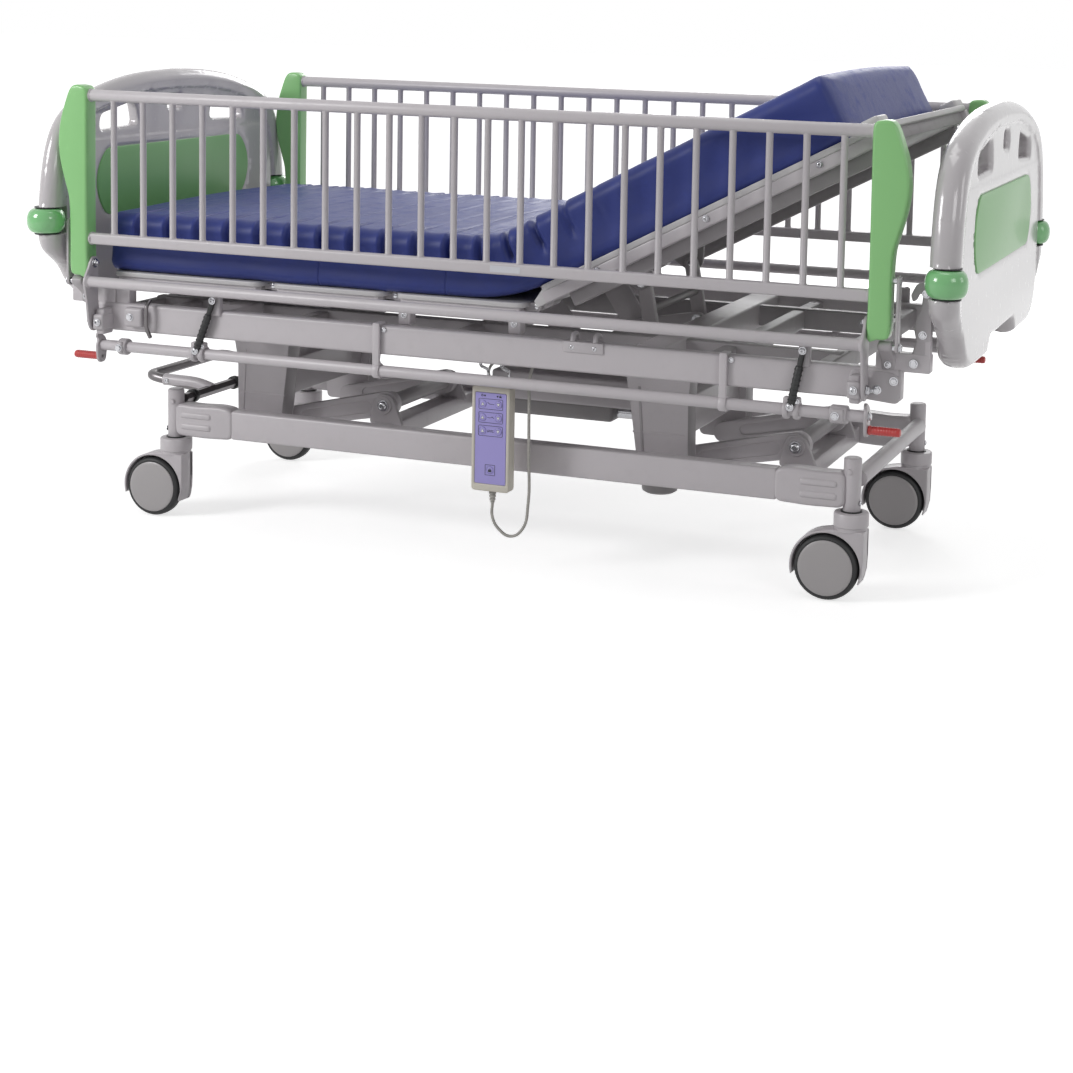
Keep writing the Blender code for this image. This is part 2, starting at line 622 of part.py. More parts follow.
crank = rod("back_crank", (CRANK[0], -0.180, CRANK[1]), (CRANK[0], 0.180, CRANK[1]), 0.010,
            FRAME, 12)
fuse(crank, rod("crank shaft", (CRANK[0], -0.1665, CRANK[1]), (CRANK[0], 0.1665, CRANK[1]),
                0.015, FRAME, 12))
for side in (-1, 1):
    arm = plate(f"crank arm {side}", strap(CRANK, CRANK_PIN, 0.024, 0.016, 4), 0.014, "Y",
                side * 0.127, FRAME)
    fuse(crank, arm, rod(f"crank pin {side}", (CRANK_PIN[0], side * 0.124, CRANK_PIN[1]),
                         (CRANK_PIN[0], side * 0.153, CRANK_PIN[1]), PIN_R, STEEL, 8))
set_origin(crank, (CRANK[0], 0.0, CRANK[1]))

middle = [(CRANK_PIN[0] + LINK_EYE[0]) / 2, (CRANK_PIN[1] + LINK_EYE[1]) / 2]
link = rod("back_link", (middle[0], -0.140, middle[1]), (middle[0], 0.140, middle[1]), 0.008,
           FRAME, 12)
for side in (-1, 1):
    fuse(link, plate(f"link strap {side}", strap(CRANK_PIN, LINK_EYE, 0.015, 0.015, 4), 0.014,
                     "Y", side * 0.145, FRAME))
    for number, (x, z) in enumerate((CRANK_PIN, LINK_EYE)):
        cut(link, rod(f"link bore {side} {number}", (x, side * 0.132, z), (x, side * 0.158, z),
                      HOLE_R, FRAME, 8))
set_origin(link, (CRANK_PIN[0], 0.0, CRANK_PIN[1]))


# side guards
def guard_rail(name, side):
    y = side * LINK_Y
    reach = POST_IN - 0.0005
    top = rod(name, (GUARD_X - reach, y, GUARD_TOP_Z), (GUARD_X + reach, y, GUARD_TOP_Z),
              GUARD_TUBE_R, FRAME, 14)
    fuse(top, box(f"{name} lower rail", (GUARD_X - reach, y - GUARD_RAIL_HALF,
                                         GUARD_LOW_Z - GUARD_RAIL_HALF),
                  (GUARD_X + reach, y + GUARD_RAIL_HALF, GUARD_LOW_Z + GUARD_RAIL_HALF), FRAME,
                  0.003))
    for k in range(BARS):
        x = GUARD_X + (k - (BARS - 1) / 2) * BAR_PITCH
        fuse(top, rod(f"{name} bar {k}", (x, y, GUARD_LOW_Z + 0.004), (x, y, GUARD_TOP_Z - 0.004),
                      BAR_R, FRAME, 6))
    return set_origin(top, (GUARD_X, y, SWING_Z + SWING_LEN))


def guard_post(name, end, side):
    outline = [(POST_IN, POST_FOOT_Z), (POST_IN, 0.700), (POST_IN - 0.001, 0.760),
               (POST_IN, 0.905), (0.820, 0.912), (0.846, 0.913), (0.856, 0.903),
               (0.866, 0.878), (0.877, 0.845), (0.8825, 0.808), (0.882, 0.780),
               (0.876, 0.745), (0.866, 0.712), (0.858, 0.682), (0.856, 0.640),
               (0.8555, 0.535), (0.849, POST_FOOT_Z)]
    points = [(guard_x(end, d), z) for d, z in outline]
    post = plate(name, points, 2 * POST_HALF_Y, "Y", side * LINK_Y, GREEN, 0.005)
    y = side * LINK_Y
    low, high = SWING_Z + SWING_LEN, SWING_Z + LINK_RISE + SWING_LEN
    cut(post, rod(f"{name} low bore", (guard_x(end, 0.805), y, low),
                  (guard_x(end, 0.832), y, low), HOLE_R, GREEN, 8),
        rod(f"{name} high bore", (guard_x(end, 0.842), y, high),
            (guard_x(end, 0.875), y, high), HOLE_R, GREEN, 8))
    return set_origin(post, (guard_x(end, POST_IN), y, low))


def swing_frame(name, side):
    """Two plates on the main rail's lower pivots, joined by the round tube."""
    frame = rod(name, (GUARD_X - PLATE_X - 0.003, side * TUBE_Y, TUBE_Z),
                (GUARD_X + PLATE_X + 0.003, side * TUBE_Y, TUBE_Z), 0.011, FRAME, 14)
    y, low, top = side * LINK_Y, SWING_Z, SWING_Z + SWING_LEN
    outline = [(0.000, low - 0.020), (0.013, low - 0.014), (0.018, low), (0.012, low + 0.070),
               (0.012, top), (0.007, top + 0.013), (-0.007, top + 0.013), (-0.014, top),
               (-0.030, TUBE_Z + 0.010), (-0.034, TUBE_Z), (-0.030, TUBE_Z - 0.011),
               (-0.017, low + 0.050), (-0.018, low), (-0.013, low - 0.014)]
    for end in (-1, 1):
        piece = plate(f"{name} plate {end}", [(y - side * u, z) for u, z in outline], PLATE_T,
                      "X", guard_x(end, PLATE_X + PLATE_T / 2), STEEL)
        pin = rod(f"{name} pin {end}", (guard_x(end, PLATE_X + 0.002), y, top),
                  (guard_x(end, PLATE_X + 0.0225), y, top), PIN_R, STEEL, 8)
        fuse(frame, piece, pin)
        cut(frame, rod(f"{name} bore {end}", (guard_x(end, PLATE_X - 0.006), y, low),
                       (guard_x(end, PLATE_X + 0.012), y, low), HOLE_R, STEEL, 8))
    return set_origin(frame, (GUARD_X, y, low))


def link_arm(name, end, side):
    y, low = side * LINK_Y, SWING_Z + LINK_RISE
    top = low + SWING_LEN
    arm = plate(name, strap((y, low), (y, top), 0.0095, 0.0095, 4), PLATE_T, "X",
                guard_x(end, ARM_X + PLATE_T / 2), FRAME)
    fuse(arm, rod(f"{name} pin", (guard_x(end, ARM_X + PLATE_T + 0.001), y, top),
                  (guard_x(end, 0.846), y, top), PIN_R, STEEL, 8))
    cut(arm, rod(f"{name} bore", (guard_x(end, ARM_X - 0.005), y, low),
                 (guard_x(end, ARM_X + PLATE_T + 0.005), y, low), HOLE_R, STEEL, 8))
    return set_origin(arm, (guard_x(end, ARM_X + PLATE_T / 2), y, low))


def latch_shaft(name, side):
    """Round release shaft under the main rail with a lever and a grip at each end."""
    y = side * LATCH_Y
    shaft = rod(name, (guard_x(-1, PLATE_X + 0.003), y, LATCH_Z),
                (guard_x(1, PLATE_X + 0.003), y, LATCH_Z), LATCH_R, FRAME, 12)
    lever = [(y + side * u, LATCH_Z + v) for u, v in
             ((-0.012, -0.034), (0.012, -0.034), (0.016, 0.0), (0.012, 0.014), (0.017, 0.020),
              (0.012, 0.027), (0.000, 0.022), (-0.012, 0.014), (-0.016, 0.0))]
    for end in (-1, 1):
        fuse(shaft,
             plate(f"{name} lever {end}", lever, PLATE_T, "X",
                   guard_x(end, PLATE_X + PLATE_T / 2), STEEL),
             rod(f"{name} casting {end}", (guard_x(end, 0.744), y, LATCH_Z),
                 (guard_x(end, 0.776 if end > 0 else 0.764), y, LATCH_Z), 0.017, FRAME, 12),
             rod(f"{name} grip {end}", (guard_x(end, PLATE_X + 0.002), y, LATCH_Z - 0.024),
                 (guard_x(end, PLATE_X + 0.066), y, LATCH_Z - 0.024), 0.0085, RED, 10))
    return set_origin(shaft, (GUARD_X, y, LATCH_Z))


for side_name, side in (("near", -1), ("far", 1)):
    guard_rail(f"guard_rail_{side_name}", side)
    swing_frame(f"swing_frame_{side_name}", side)
    latch_shaft(f"latch_shaft_{side_name}", side)
    for end_name, end in (("foot", -1), ("head", 1)):
        guard_post(f"guard_post_{end_name}_{side_name}", end, side)
        link_arm(f"link_arm_{end_name}_{side_name}", end, side)


# end boards and rollers
def mirrored(half):
    """Closes an outline given for Y from the middle outwards and back."""
    return half + [(-y, z) for y, z in reversed(half) if y > 0.0001]


def roller_x(end):
    inner, outer, depth = BOARDS[end]
    return end * ((inner + outer) / 2 + ROLLER_OUT)


def end_board(name, end):
    """A thick rounded rim round a thinner panel, with three hand holes and a green inlay."""
    inner, outer, depth = BOARDS[end]
    half = [(0.0, 0.932), (0.110, 0.928), (0.205, 0.917), (0.290, 0.898), (0.355, 0.878),
            (0.402, 0.847), (0.432, 0.802), (0.450, 0.745), (0.461, 0.680), (0.463, 0.600),
            (0.448, 0.570), (0.400, 0.532), (0.370, 0.496), (0.340, 0.472), (0.295, 0.460),
            (0.140, 0.458), (0.115, 0.488)]
    middle = end * (inner + outer) / 2
    board = plate(name, mirrored(half), outer - inner, "X", middle, BOARD, 0.016, 2)
    panel = [(0.120, 0.890), (0.215, 0.878), (0.300, 0.855), (0.352, 0.825), (0.388, 0.780),
             (0.405, 0.720), (0.414, 0.650), (0.414, 0.572), (0.330, 0.548)]
    for face, sign in ((inner, -1), (outer, 1)):
        cut(board, plate(f"{name} recess {sign}", mirrored(panel), 0.040, "X",
                         end * (face + sign * (0.020 - depth)), BOARD))
    inlay = [(0.262, 0.772), (0.290, 0.735), (0.298, 0.700), (0.290, 0.664), (0.265, 0.628)]
    fuse(board, plate(f"{name} inlay", softened(mirrored(inlay), 0.025, 2),
                      outer - inner - 2 * depth + 0.006, "X", middle, GREEN))
    for number, (y0, y1, z0, z1) in enumerate(((-0.282, -0.138, 0.812, 0.862),
                                               (-0.034, 0.034, 0.840, 0.878),
                                               (0.138, 0.282, 0.812, 0.862))):
        hole = plate(f"{name} hand hole {number}",
                     softened([(y0, z0), (y1, z0), (y1 - 0.006, z1), (y0 + 0.006, z1)], 0.022, 3),
                     0.08, "X", middle, BOARD)
        cut(board, hole)
    for side in (-1, 1):
        cut(board, side_box(f"{name} roller notch {side}", side, (middle - 0.04, middle + 0.04),
                            (ROLLER_Y - ROLLER_R - 0.004, 0.500),
                            (ROLLER_LOW - 0.004, ROLLER_TOP + 0.004), BOARD))
        fuse(board, rod(f"{name} roller pin {side}",
                        (roller_x(end), side * ROLLER_Y, ROLLER_LOW - 0.012),
                        (roller_x(end), side * ROLLER_Y, ROLLER_TOP + 0.012), 0.005, STEEL, 8))
    return board


def bumper_roller(name, end, side):
    r, low, top = ROLLER_R, ROLLER_LOW, ROLLER_TOP
    return turned(name, [(0.0056, top), (r - 0.010, top), (r - 0.003, top - 0.005),
                         (r, top - 0.014), (r, low + 0.014), (r - 0.003, low + 0.005),
                         (r - 0.010, low), (0.0056, low), (0.0056, top)],
                  (roller_x(end), side * ROLLER_Y, 0.0), (0, 0, 1), GREEN, 18)


for end_name, end in (("foot", -1), ("head", 1)):
    end_board(f"{end_name}_board", end)
    for side_name, side in (("near", -1), ("far", 1)):
        bumper_roller(f"roller_{end_name}_{side_name}", end, side)


# mattress
def cushion(name, low_x, high_x, low_slant, high_slant, rings, crown=0.005,
            low_z=DECK_TOP + GAP, thickness=MATTRESS_T):
    """A crowned pad between two slanted ends. Each slant is the lean of the end away from
    upright, about its deck hinge; rings are places along it, each with a channel depth."""
    top_z = low_z + thickness
    w = MATTRESS_HALF_W
    half = [(w - 0.018, low_z), (w, low_z + 0.018), (w - 0.005, (low_z + top_z) / 2),
            (w, top_z - 0.026), (w - 0.007, top_z - 0.010), (w - 0.026, top_z - 0.002),
            (w * 0.55, top_z + crown * 0.8), (0.0, top_z + crown)]
    section = half + [(-y, z) for y, z in reversed(half) if y > 0.0001]
    bm = bmesh.new()
    loops = []
    for t, dip in rings:
        edge = min(t, 1 - t) * (high_x - low_x)
        inset = 0.007 if edge < 0.0005 else 0.0
        loop = []
        for y, z in section:
            if z > low_z + 0.080:
                z -= dip * (1.0 if z > top_z - 0.012 else 0.6)
                y *= 1 - 0.012 * (dip > 0)
            y *= 1 - inset / w
            middle = (low_z + top_z) / 2
            z = middle + (z - middle) * (1 - inset / (thickness / 2))
            near = low_x + tan(low_slant) * (z - PIVOT_Z)
            far = high_x - tan(high_slant) * (z - PIVOT_Z)
            loop.append(bm.verts.new((near + t * (far - near), y, z)))
        loops.append(loop)
    count = len(section)
    for a, b in zip(loops, loops[1:]):
        for k in range(count):
            bm.faces.new((a[k], a[(k + 1) % count], b[(k + 1) % count], b[k]))
    bm.faces.new(list(reversed(loops[0])))
    bm.faces.new(loops[-1])
    bmesh.ops.recalc_face_normals(bm, faces=bm.faces)
    mesh = bpy.data.meshes.new(name)
    bm.to_mesh(mesh)
    bm.free()
    mesh.shade_smooth()
    mesh.set_sharp_from_angle(angle=radians(50))
    return place(name, mesh, BLUE)


def grooved(length, depth):
    """Ring places along a pad with a channel every pitch."""
    count = max(1, round(length / GROOVE_PITCH))
    step = 1.0 / count
    rings = [(0.0, 0.0), (0.010 / length, 0.0)]
    for k in range(count):
        start = k * step
        if k:
            rings += [(start - 0.11 * step, 0.0), (start, depth), (start + 0.11 * step, 0.0)]
    return rings + [(1 - 0.010 / length, 0.0), (1.0, 0.0)]


def plain(length, count):
    inner = [(0.010 + (length - 0.020) * k / count) / length for k in range(count + 1)]
    return [(0.0, 0.0)] + [(t, 0.0) for t in inner] + [(1.0, 0.0)]


HIP_LEAN = (BACK_TRAVEL + radians(1.6)) / 2
THIGH_LEAN = (THIGH_TRAVEL + radians(1.6)) / 2
air = 0.0015
cushion("mattress_seat", THIGH_X + air, HIP_X - air, THIGH_LEAN, HIP_LEAN,
        grooved(HIP_X - THIGH_X, 0.009))
pad = cushion("mattress_thigh", KNEE_X + air, THIGH_X - air, 0.0, THIGH_LEAN,
              grooved(THIGH_X - KNEE_X, 0.009))
set_origin(pad, (THIGH_X, 0.0, PIVOT_Z))
pad = cushion("mattress_leg", DECK_FOOT_X - 0.006, KNEE_X - air, radians(2.0), 0.0,
              grooved(KNEE_X - DECK_FOOT_X, 0.009))
set_origin(pad, (KNEE_X, 0.0, PIVOT_Z))
pad = cushion("mattress_back", HIP_X + air, HIP_X + MATTRESS_HEAD, HIP_LEAN, radians(6.0),
              plain(MATTRESS_HEAD, 8), 0.008, BACK_TOP + GAP, BACK_PAD_T)
tilt([pad], (HIP_X, PIVOT_Z), BACK_ANGLE)
set_origin(pad, (HIP_X, 0.0, PIVOT_Z))


# hand control and its cord
shell = box("hand_control", (HAND_X - HAND_W / 2, HAND_Y - HAND_D / 2, HAND_Z - HAND_H / 2),
            (HAND_X + HAND_W / 2, HAND_Y + HAND_D / 2, HAND_Z + HAND_H / 2), BEIGE, 0.008, 2)
front = HAND_Y - HAND_D / 2
back_y = HAND_Y + HAND_D / 2
cut(shell, box("keypad recess", (HAND_X - 0.0325, front - 0.01, HAND_Z - 0.089),
               (HAND_X + 0.0325, front + 0.001, HAND_Z + 0.090), BEIGE))
fuse(shell, box("hook bridge", (HAND_X - 0.012, back_y - 0.004, 0.3495),
                (HAND_X + 0.012, -0.333, 0.3540), BEIGE),
     box("hook lip", (HAND_X - 0.012, -0.3375, 0.338), (HAND_X + 0.012, -0.333, 0.3535), BEIGE))
relief_top = HAND_Z - HAND_H / 2 + 0.004
relief_low = relief_top - 0.028
profile = [(0.0, relief_top)]
for k in range(4):
    z, r = relief_top - 0.0066 * k, 0.0080 - 0.0007 * k
    profile += [(r, z), (r, z - 0.0042), (r - 0.0018, z - 0.0046)]
profile += [(0.0048, relief_low), (0.0, relief_low)]
fuse(shell, turned("strain relief", profile, (HAND_X, HAND_Y, 0.0), (0, 0, 1), BEIGE, 10))

KEYS = {"key_back_up": (-0.0165, 0.0682), "key_back_down": (0.0165, 0.0682),
        "key_knee_up": (-0.0165, 0.0416), "key_knee_down": (0.0165, 0.0416),
        "key_height_up": (-0.0165, 0.0155), "key_height_down": (0.0165, 0.0155),
        "key_lock": (0.0, -0.0614)}
for key_name, (x, z) in KEYS.items():
    x, z = HAND_X + x, HAND_Z + z
    cut(shell, rod(f"{key_name} well", (x, front - 0.005, z), (x, front + 0.0065, z),
                   KEY_R + 0.0004, BEIGE, 12))
    rod(key_name, (x, front + 0.0010 - KEY_PROUD, z), (x, front + 0.0050, z), KEY_R, LILAC, 12)


def smooth_route(corners, step):
    """Points at even steps on a smooth curve through the corners."""
    fine = []
    count = len(corners)
    for i in range(count - 1):
        p0 = Vector(corners[max(i - 1, 0)])
        p1, p2 = Vector(corners[i]), Vector(corners[i + 1])
        p3 = Vector(corners[min(i + 2, count - 1)])
        for k in range(24):
            t = k / 24
            fine.append(0.5 * (2 * p1 + (p2 - p0) * t + (2 * p0 - 5 * p1 + 4 * p2 - p3) * t * t
                               + (3 * p1 - p0 - 3 * p2 + p3) * t ** 3))
    fine.append(Vector(corners[-1]))
    total = sum((b - a).length for a, b in zip(fine, fine[1:]))
    gaps = max(1, round(total / step))
    points, target, travelled = [fine[0]], total / gaps, 0.0
    for a, b in zip(fine, fine[1:]):
        span = (b - a).length
        while travelled + span >= target - 1e-9 and len(points) < gaps:
            points.append(a + (b - a) * ((target - travelled) / span))
            target += total / gaps
        travelled += span
    return points + [fine[-1]], total


relief_end = relief_low - GAP
CORD_ROUTE = [(HAND_X, HAND_Y, relief_end), (HAND_X, HAND_Y, relief_end - 0.028),
              (HAND_X + 0.014, HAND_Y + 0.002, 0.078), (HAND_X + 0.038, HAND_Y + 0.006, 0.066),
              (HAND_X + 0.060, HAND_Y + 0.010, 0.082), (HAND_X + 0.070, HAND_Y + 0.012, 0.130),
              (HAND_X + 0.070, HAND_Y + 0.012, 0.230), (HAND_X + 0.070, HAND_Y + 0.010, 0.330),
              (HAND_X + 0.074, HAND_Y + 0.004, 0.385), (HAND_X + 0.090, -0.3670, 0.417),
              (HAND_X + 0.120, -0.3672, 0.430), (0.230, -0.3672, 0.431), (0.300, -0.3640, 0.431),
              (0.322, -0.350, 0.432), (0.3275, -0.325, 0.432), (0.3275, -0.240, 0.432),
              (0.3275, -0.110, 0.432), (0.320, -0.075, 0.426), (0.290, -0.046, 0.402),
              (0.255, -0.028, 0.372), (0.215, -0.015, 0.344), (0.180, -0.006, 0.3325),
              (0.130, 0.0, 0.3315), (0.0, 0.0, 0.3315), (-0.060, 0.004, 0.3315),
              (-0.100, 0.010, 0.334), (-0.128, 0.014, 0.331), (-0.144, 0.015, 0.316),
              (-0.144, 0.015, 0.298), (-0.1303, 0.015, 0.288)]
route, cord_length = smooth_route(CORD_ROUTE, 0.0205)
route.append(Vector((-0.110 - GAP, 0.015, 0.288)))
tube("hand_cord", route, CORD_R, CORD_GREY, 2, mesh=False)
print(f"hand cord {cord_length + 0.020:.3f} m in {len(route)} points")
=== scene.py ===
"""The finished look of the electric youth bed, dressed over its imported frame.
Metres, +X to the head, +Z up, near side at -Y, origin on the floor at the middle."""
import bmesh
import bpy
from math import cos, hypot, pi, radians, sin, sqrt
from mathutils import Matrix, Vector, noise
from mathutils.geometry import delaunay_2d_cdt


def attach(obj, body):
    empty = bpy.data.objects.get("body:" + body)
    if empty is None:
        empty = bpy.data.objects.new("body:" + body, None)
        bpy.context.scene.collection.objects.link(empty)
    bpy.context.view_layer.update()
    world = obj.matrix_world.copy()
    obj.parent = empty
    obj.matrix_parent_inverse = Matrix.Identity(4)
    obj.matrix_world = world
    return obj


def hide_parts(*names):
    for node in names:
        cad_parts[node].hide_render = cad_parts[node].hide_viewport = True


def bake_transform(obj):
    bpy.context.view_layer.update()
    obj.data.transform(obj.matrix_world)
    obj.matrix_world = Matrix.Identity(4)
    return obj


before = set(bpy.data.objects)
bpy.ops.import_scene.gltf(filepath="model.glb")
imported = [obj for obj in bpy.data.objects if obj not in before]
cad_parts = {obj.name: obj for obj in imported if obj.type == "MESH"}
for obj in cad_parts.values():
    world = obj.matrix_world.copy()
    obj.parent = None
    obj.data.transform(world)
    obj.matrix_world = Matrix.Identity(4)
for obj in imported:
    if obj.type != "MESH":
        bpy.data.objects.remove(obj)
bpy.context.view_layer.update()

# sizes and places taken over from the part, metres
CASTER_X, CASTER_Y = 0.735, 0.276
WHEEL_R, TRAIL, FORK_Y = 0.0625, 0.040, 0.017
BASE_LOW, BASE_TOP, BASE_HALF_W, BASE_JOINT_X = 0.178, 0.238, 0.018, 0.592
HEAD_ARM, FOOT_ARM = (0.590, 0.252), (-0.307, 0.252)
ARM_DX, ARM_DZ = -0.240, -0.051
LEG_IN, LEG_OUT = 0.165, 0.215
RAIL_IN, RAIL_OUT, RAIL_LOW, RAIL_TOP, RAIL_END = 0.371, 0.401, 0.409, 0.467, 0.845
BOARDS = {1: (0.900, 0.956, 0.012), -1: (0.905, 0.951, 0.009)}
DECK_LOW, DECK_TOP, DECK_HALF_W = 0.508, 0.528, 0.378
PIVOT_Z, HIP_X, THIGH_X, KNEE_X, DECK_FOOT_X = 0.518, 0.118, -0.185, -0.461, -0.820
BACK_LEN, BACK_TOP, BACK_ANGLE = 0.775, 0.550, radians(27.5)
CRANK, CRANK_PIN = (0.140, 0.403), (0.286, 0.439)
GUARD_X, LINK_Y, SWING_Z, SWING_LEN, LINK_RISE = -0.022, 0.425, 0.430, 0.120, 0.080
PLATE_X, PLATE_T, ARM_X = 0.8075, 0.006, 0.864
TUBE_Y, TUBE_Z = 0.445, 0.514
GUARD_TOP_Z, GUARD_LOW_Z, POST_IN = 0.892, 0.600, 0.815
BARS, BAR_PITCH, BAR_R = 23, 0.0691, 0.0065
LATCH_Y, LATCH_Z, LATCH_R = 0.400, 0.377, 0.011
ROLLER_X, ROLLER_Y, ROLLER_R, ROLLER_LOW, ROLLER_TOP = 0.933, 0.444, 0.0385, 0.608, 0.658
HEX_X, HEX_Z = -0.730, 0.246
HAND_X, HAND_Y, HAND_Z = 0.040, -0.365, 0.259
HAND_W, HAND_D, HAND_H = 0.080, 0.030, 0.208
MATTRESS_HALF_W, MATTRESS_T, BACK_PAD_T, MATTRESS_HEAD = 0.377, 0.1232, 0.1342, 0.735
CORD_R = 0.003
# sizes and places of the small forms drawn here, metres
POST_LOW = 0.1683
ARM_IN, ARM_OUT = 0.125, 0.145
PIN_HOLE_R = 0.0066
ARCH_X, STAY_Y = 0.846, 0.4125
EAR_Y, BARREL_Y = 0.340, 0.317
CRANK_Y, BACK_LINK_Y, LOBE_Y = 0.127, 0.145, 0.159
OUTSIDE_SHARE = 0.40
SIDES = (("near", -1), ("far", 1))
ENDS = (("foot", -1), ("head", 1))


# camera
CAMERA_AT = (1.6277, -3.8528, 1.1225)
CAMERA_YAW, CAMERA_PITCH, CAMERA_ROLL = radians(19.616), radians(5.764), radians(1.325)
CAMERA_LENS, CAMERA_SENSOR, CAMERA_SHIFT = 67.19, 36.0, (-0.121, -0.317)


def shown(name, data):
    """A new object in the scene."""
    obj = bpy.data.objects.new(name, data)
    bpy.context.scene.collection.objects.link(obj)
    return obj


def make_camera():
    """Stands where the photograph was taken from; the shift frames the cropped picture."""
    flat = cos(CAMERA_PITCH)
    ahead = Vector((-sin(CAMERA_YAW) * flat, cos(CAMERA_YAW) * flat, -sin(CAMERA_PITCH)))
    level_right = Vector((cos(CAMERA_YAW), sin(CAMERA_YAW), 0.0))
    level_up = level_right.cross(ahead)
    right = cos(CAMERA_ROLL) * level_right + sin(CAMERA_ROLL) * level_up
    up = cos(CAMERA_ROLL) * level_up - sin(CAMERA_ROLL) * level_right
    camera = shown("camera", bpy.data.cameras.new("camera"))
    turn = Matrix((right, up, -ahead)).transposed().to_4x4()
    camera.matrix_world = Matrix.Translation(CAMERA_AT) @ turn
    camera.data.sensor_width = CAMERA_SENSOR
    camera.data.lens = CAMERA_LENS
    camera.data.shift_x, camera.data.shift_y = CAMERA_SHIFT
    bpy.context.scene.camera = camera


make_camera()
bpy.context.scene.view_settings.view_transform = "Standard"


# finishes
class Value:
    """One output of a node; arithmetic on it adds Math nodes."""

    def __init__(self, nodes, socket):
        self.nodes = nodes
        self.socket = socket

    def maths(self, operation, first, second):
        return self.nodes.node("ShaderNodeMath", {"operation": operation}, {0: first, 1: second})

    def __add__(self, other):
        return self.maths("ADD", self, other)

    def __sub__(self, other):
        return self.maths("SUBTRACT", self, other)

    def __rsub__(self, other):
        return self.maths("SUBTRACT", other, self)

    def __mul__(self, other):
        return self.maths("MULTIPLY", self, other)

    __radd__ = __add__
    __rmul__ = __mul__


class Nodes:
    """The node tree of a material or of the world."""

    def __init__(self, tree):
        self.tree = tree

    def node(self, kind, settings=None, inputs=None, out=0):
        made = self.tree.nodes.new(kind)
        for word, value in (settings or {}).items():
            setattr(made, word, value)
        for socket, value in (inputs or {}).items():
            if isinstance(value, Value):
                self.tree.links.new(value.socket, made.inputs[socket])
            else:
                made.inputs[socket].default_value = value
        return Value(self, made.outputs[out])

    def looked_at(self):
        """1 where the camera, a gloss or a clear piece looks straight at it, 0 for light."""
        camera, gloss, clear = (self.node("ShaderNodeLightPath", out=f"Is {ray} Ray")
                                for ray in ("Camera", "Glossy", "Transmission"))
        return camera.maths("MAXIMUM", camera, gloss.maths("MAXIMUM", gloss, clear))


class Finish(Nodes):
    """A material, and the node recipes that finishes share."""

    def __init__(self, name, colour, rough, metal=0.0, fixed=None):
        self.material = bpy.data.materials.new(name)
        self.material.use_nodes = True
        super().__init__(self.material.node_tree)
        self.shader = self.tree.nodes["Principled BSDF"]
        self.colour = (*colour, 1.0)
        self.rough = rough
        for word, value in {"Base Color": self.colour, "Roughness": rough, "Metallic": metal,
                            **(fixed or {})}.items():
            self.shader.inputs[word].default_value = value
        self.place = self.node("ShaderNodeTexCoord", out="Object")

    def noise(self, scale, detail=2.0, rough=0.5, stretch=(1.0, 1.0, 1.0)):
        where = self.node("ShaderNodeMapping", None, {"Vector": self.place, "Scale": stretch})
        return self.node("ShaderNodeTexNoise", None, {"Vector": where, "Scale": scale,
                                                      "Detail": detail, "Roughness": rough})

    def cells(self, scale, kind="F1"):
        return self.node("ShaderNodeTexVoronoi", {"feature": kind},
                         {"Vector": self.place, "Scale": scale})

    def waves(self, scale, axis, turn=0.0, distortion=0.0):
        where = self.node("ShaderNodeMapping", None,
                          {"Vector": self.place, "Rotation": (0.0, 0.0, turn)})
        return self.node("ShaderNodeTexWave", {"bands_direction": axis},
                         {"Vector": where, "Scale": scale, "Distortion": distortion,
                          "Detail": 1.0, "Detail Scale": 0.7}, out="Fac")

    def band(self, value, low, high, first=0.0, last=1.0):
        """The value's span from low to high, stretched to first and last and kept within them."""
        return self.node("ShaderNodeMapRange", None,
                         {"Value": value, "From Min": low, "From Max": high,
                          "To Min": first, "To Max": last})

    def edges(self, low=0.515, high=0.56):
        """1 on outer edges and 0 on flat stretches."""
        return self.band(self.node("ShaderNodeNewGeometry", out="Pointiness"), low, high)

    def painted_corner_shade(self, low=0.49, high=0.44):
        """1 in inner corners, the mask for shade painted into the colour there."""
        return self.band(self.node("ShaderNodeNewGeometry", out="Pointiness"), low, high)

    def mix(self, factor, first, second):
        return self.node("ShaderNodeMix", {"data_type": "RGBA"},
                         {0: factor, 6: first, 7: second}, out=2)

    def feed(self, word, value):
        self.tree.links.new(value.socket, self.shader.inputs[word])

    def paint(self, *layers):
        """The base colour with layers of (mask, colour) over it."""
        colour = self.colour
        for mask, over in layers:
            colour = self.mix(mask, colour, (*over, 1.0))
        self.feed("Base Color", colour)

    def relief(self, *layers):
        """Bumps of (height, strength, distance), the coarse ones first."""
        normal = None
        for height, strength, distance in layers:
            inputs = {"Height": height, "Strength": strength, "Distance": distance}
            if normal:
                inputs["Normal"] = normal
            normal = self.node("ShaderNodeBump", None, inputs)
        self.feed("Normal", normal)


def tinted(colour, amount):
    return tuple(min(1.0, part * amount) for part in colour)


def powder_coat(name, colour, rough=0.33):
    """Sprayed and baked paint: orange peel, a little dust and rubbed edges."""
    finish = Finish(name, colour, rough)
    cloud = finish.noise(5.0, 4.0, 0.6)
    dust = finish.band(finish.noise(38.0, 4.0, 0.65), 0.52, 0.74)
    finish.paint((finish.band(cloud, 0.35, 0.7) * 0.45, tinted(colour, 0.93)),
                 (dust * 0.30, tinted(colour, 0.84)),
                 # painted shade: darker in inner corners
                 (finish.painted_corner_shade() * 0.55, tinted(colour, 0.55)),
                 (finish.edges() * 0.35, tinted(colour, 1.18)))
    finish.feed("Roughness", rough + dust * 0.14 + cloud * 0.05)
    finish.relief((finish.noise(260.0, 2.0), 0.10, 0.0006), (finish.noise(1500.0), 0.06, 0.0002))
    return finish


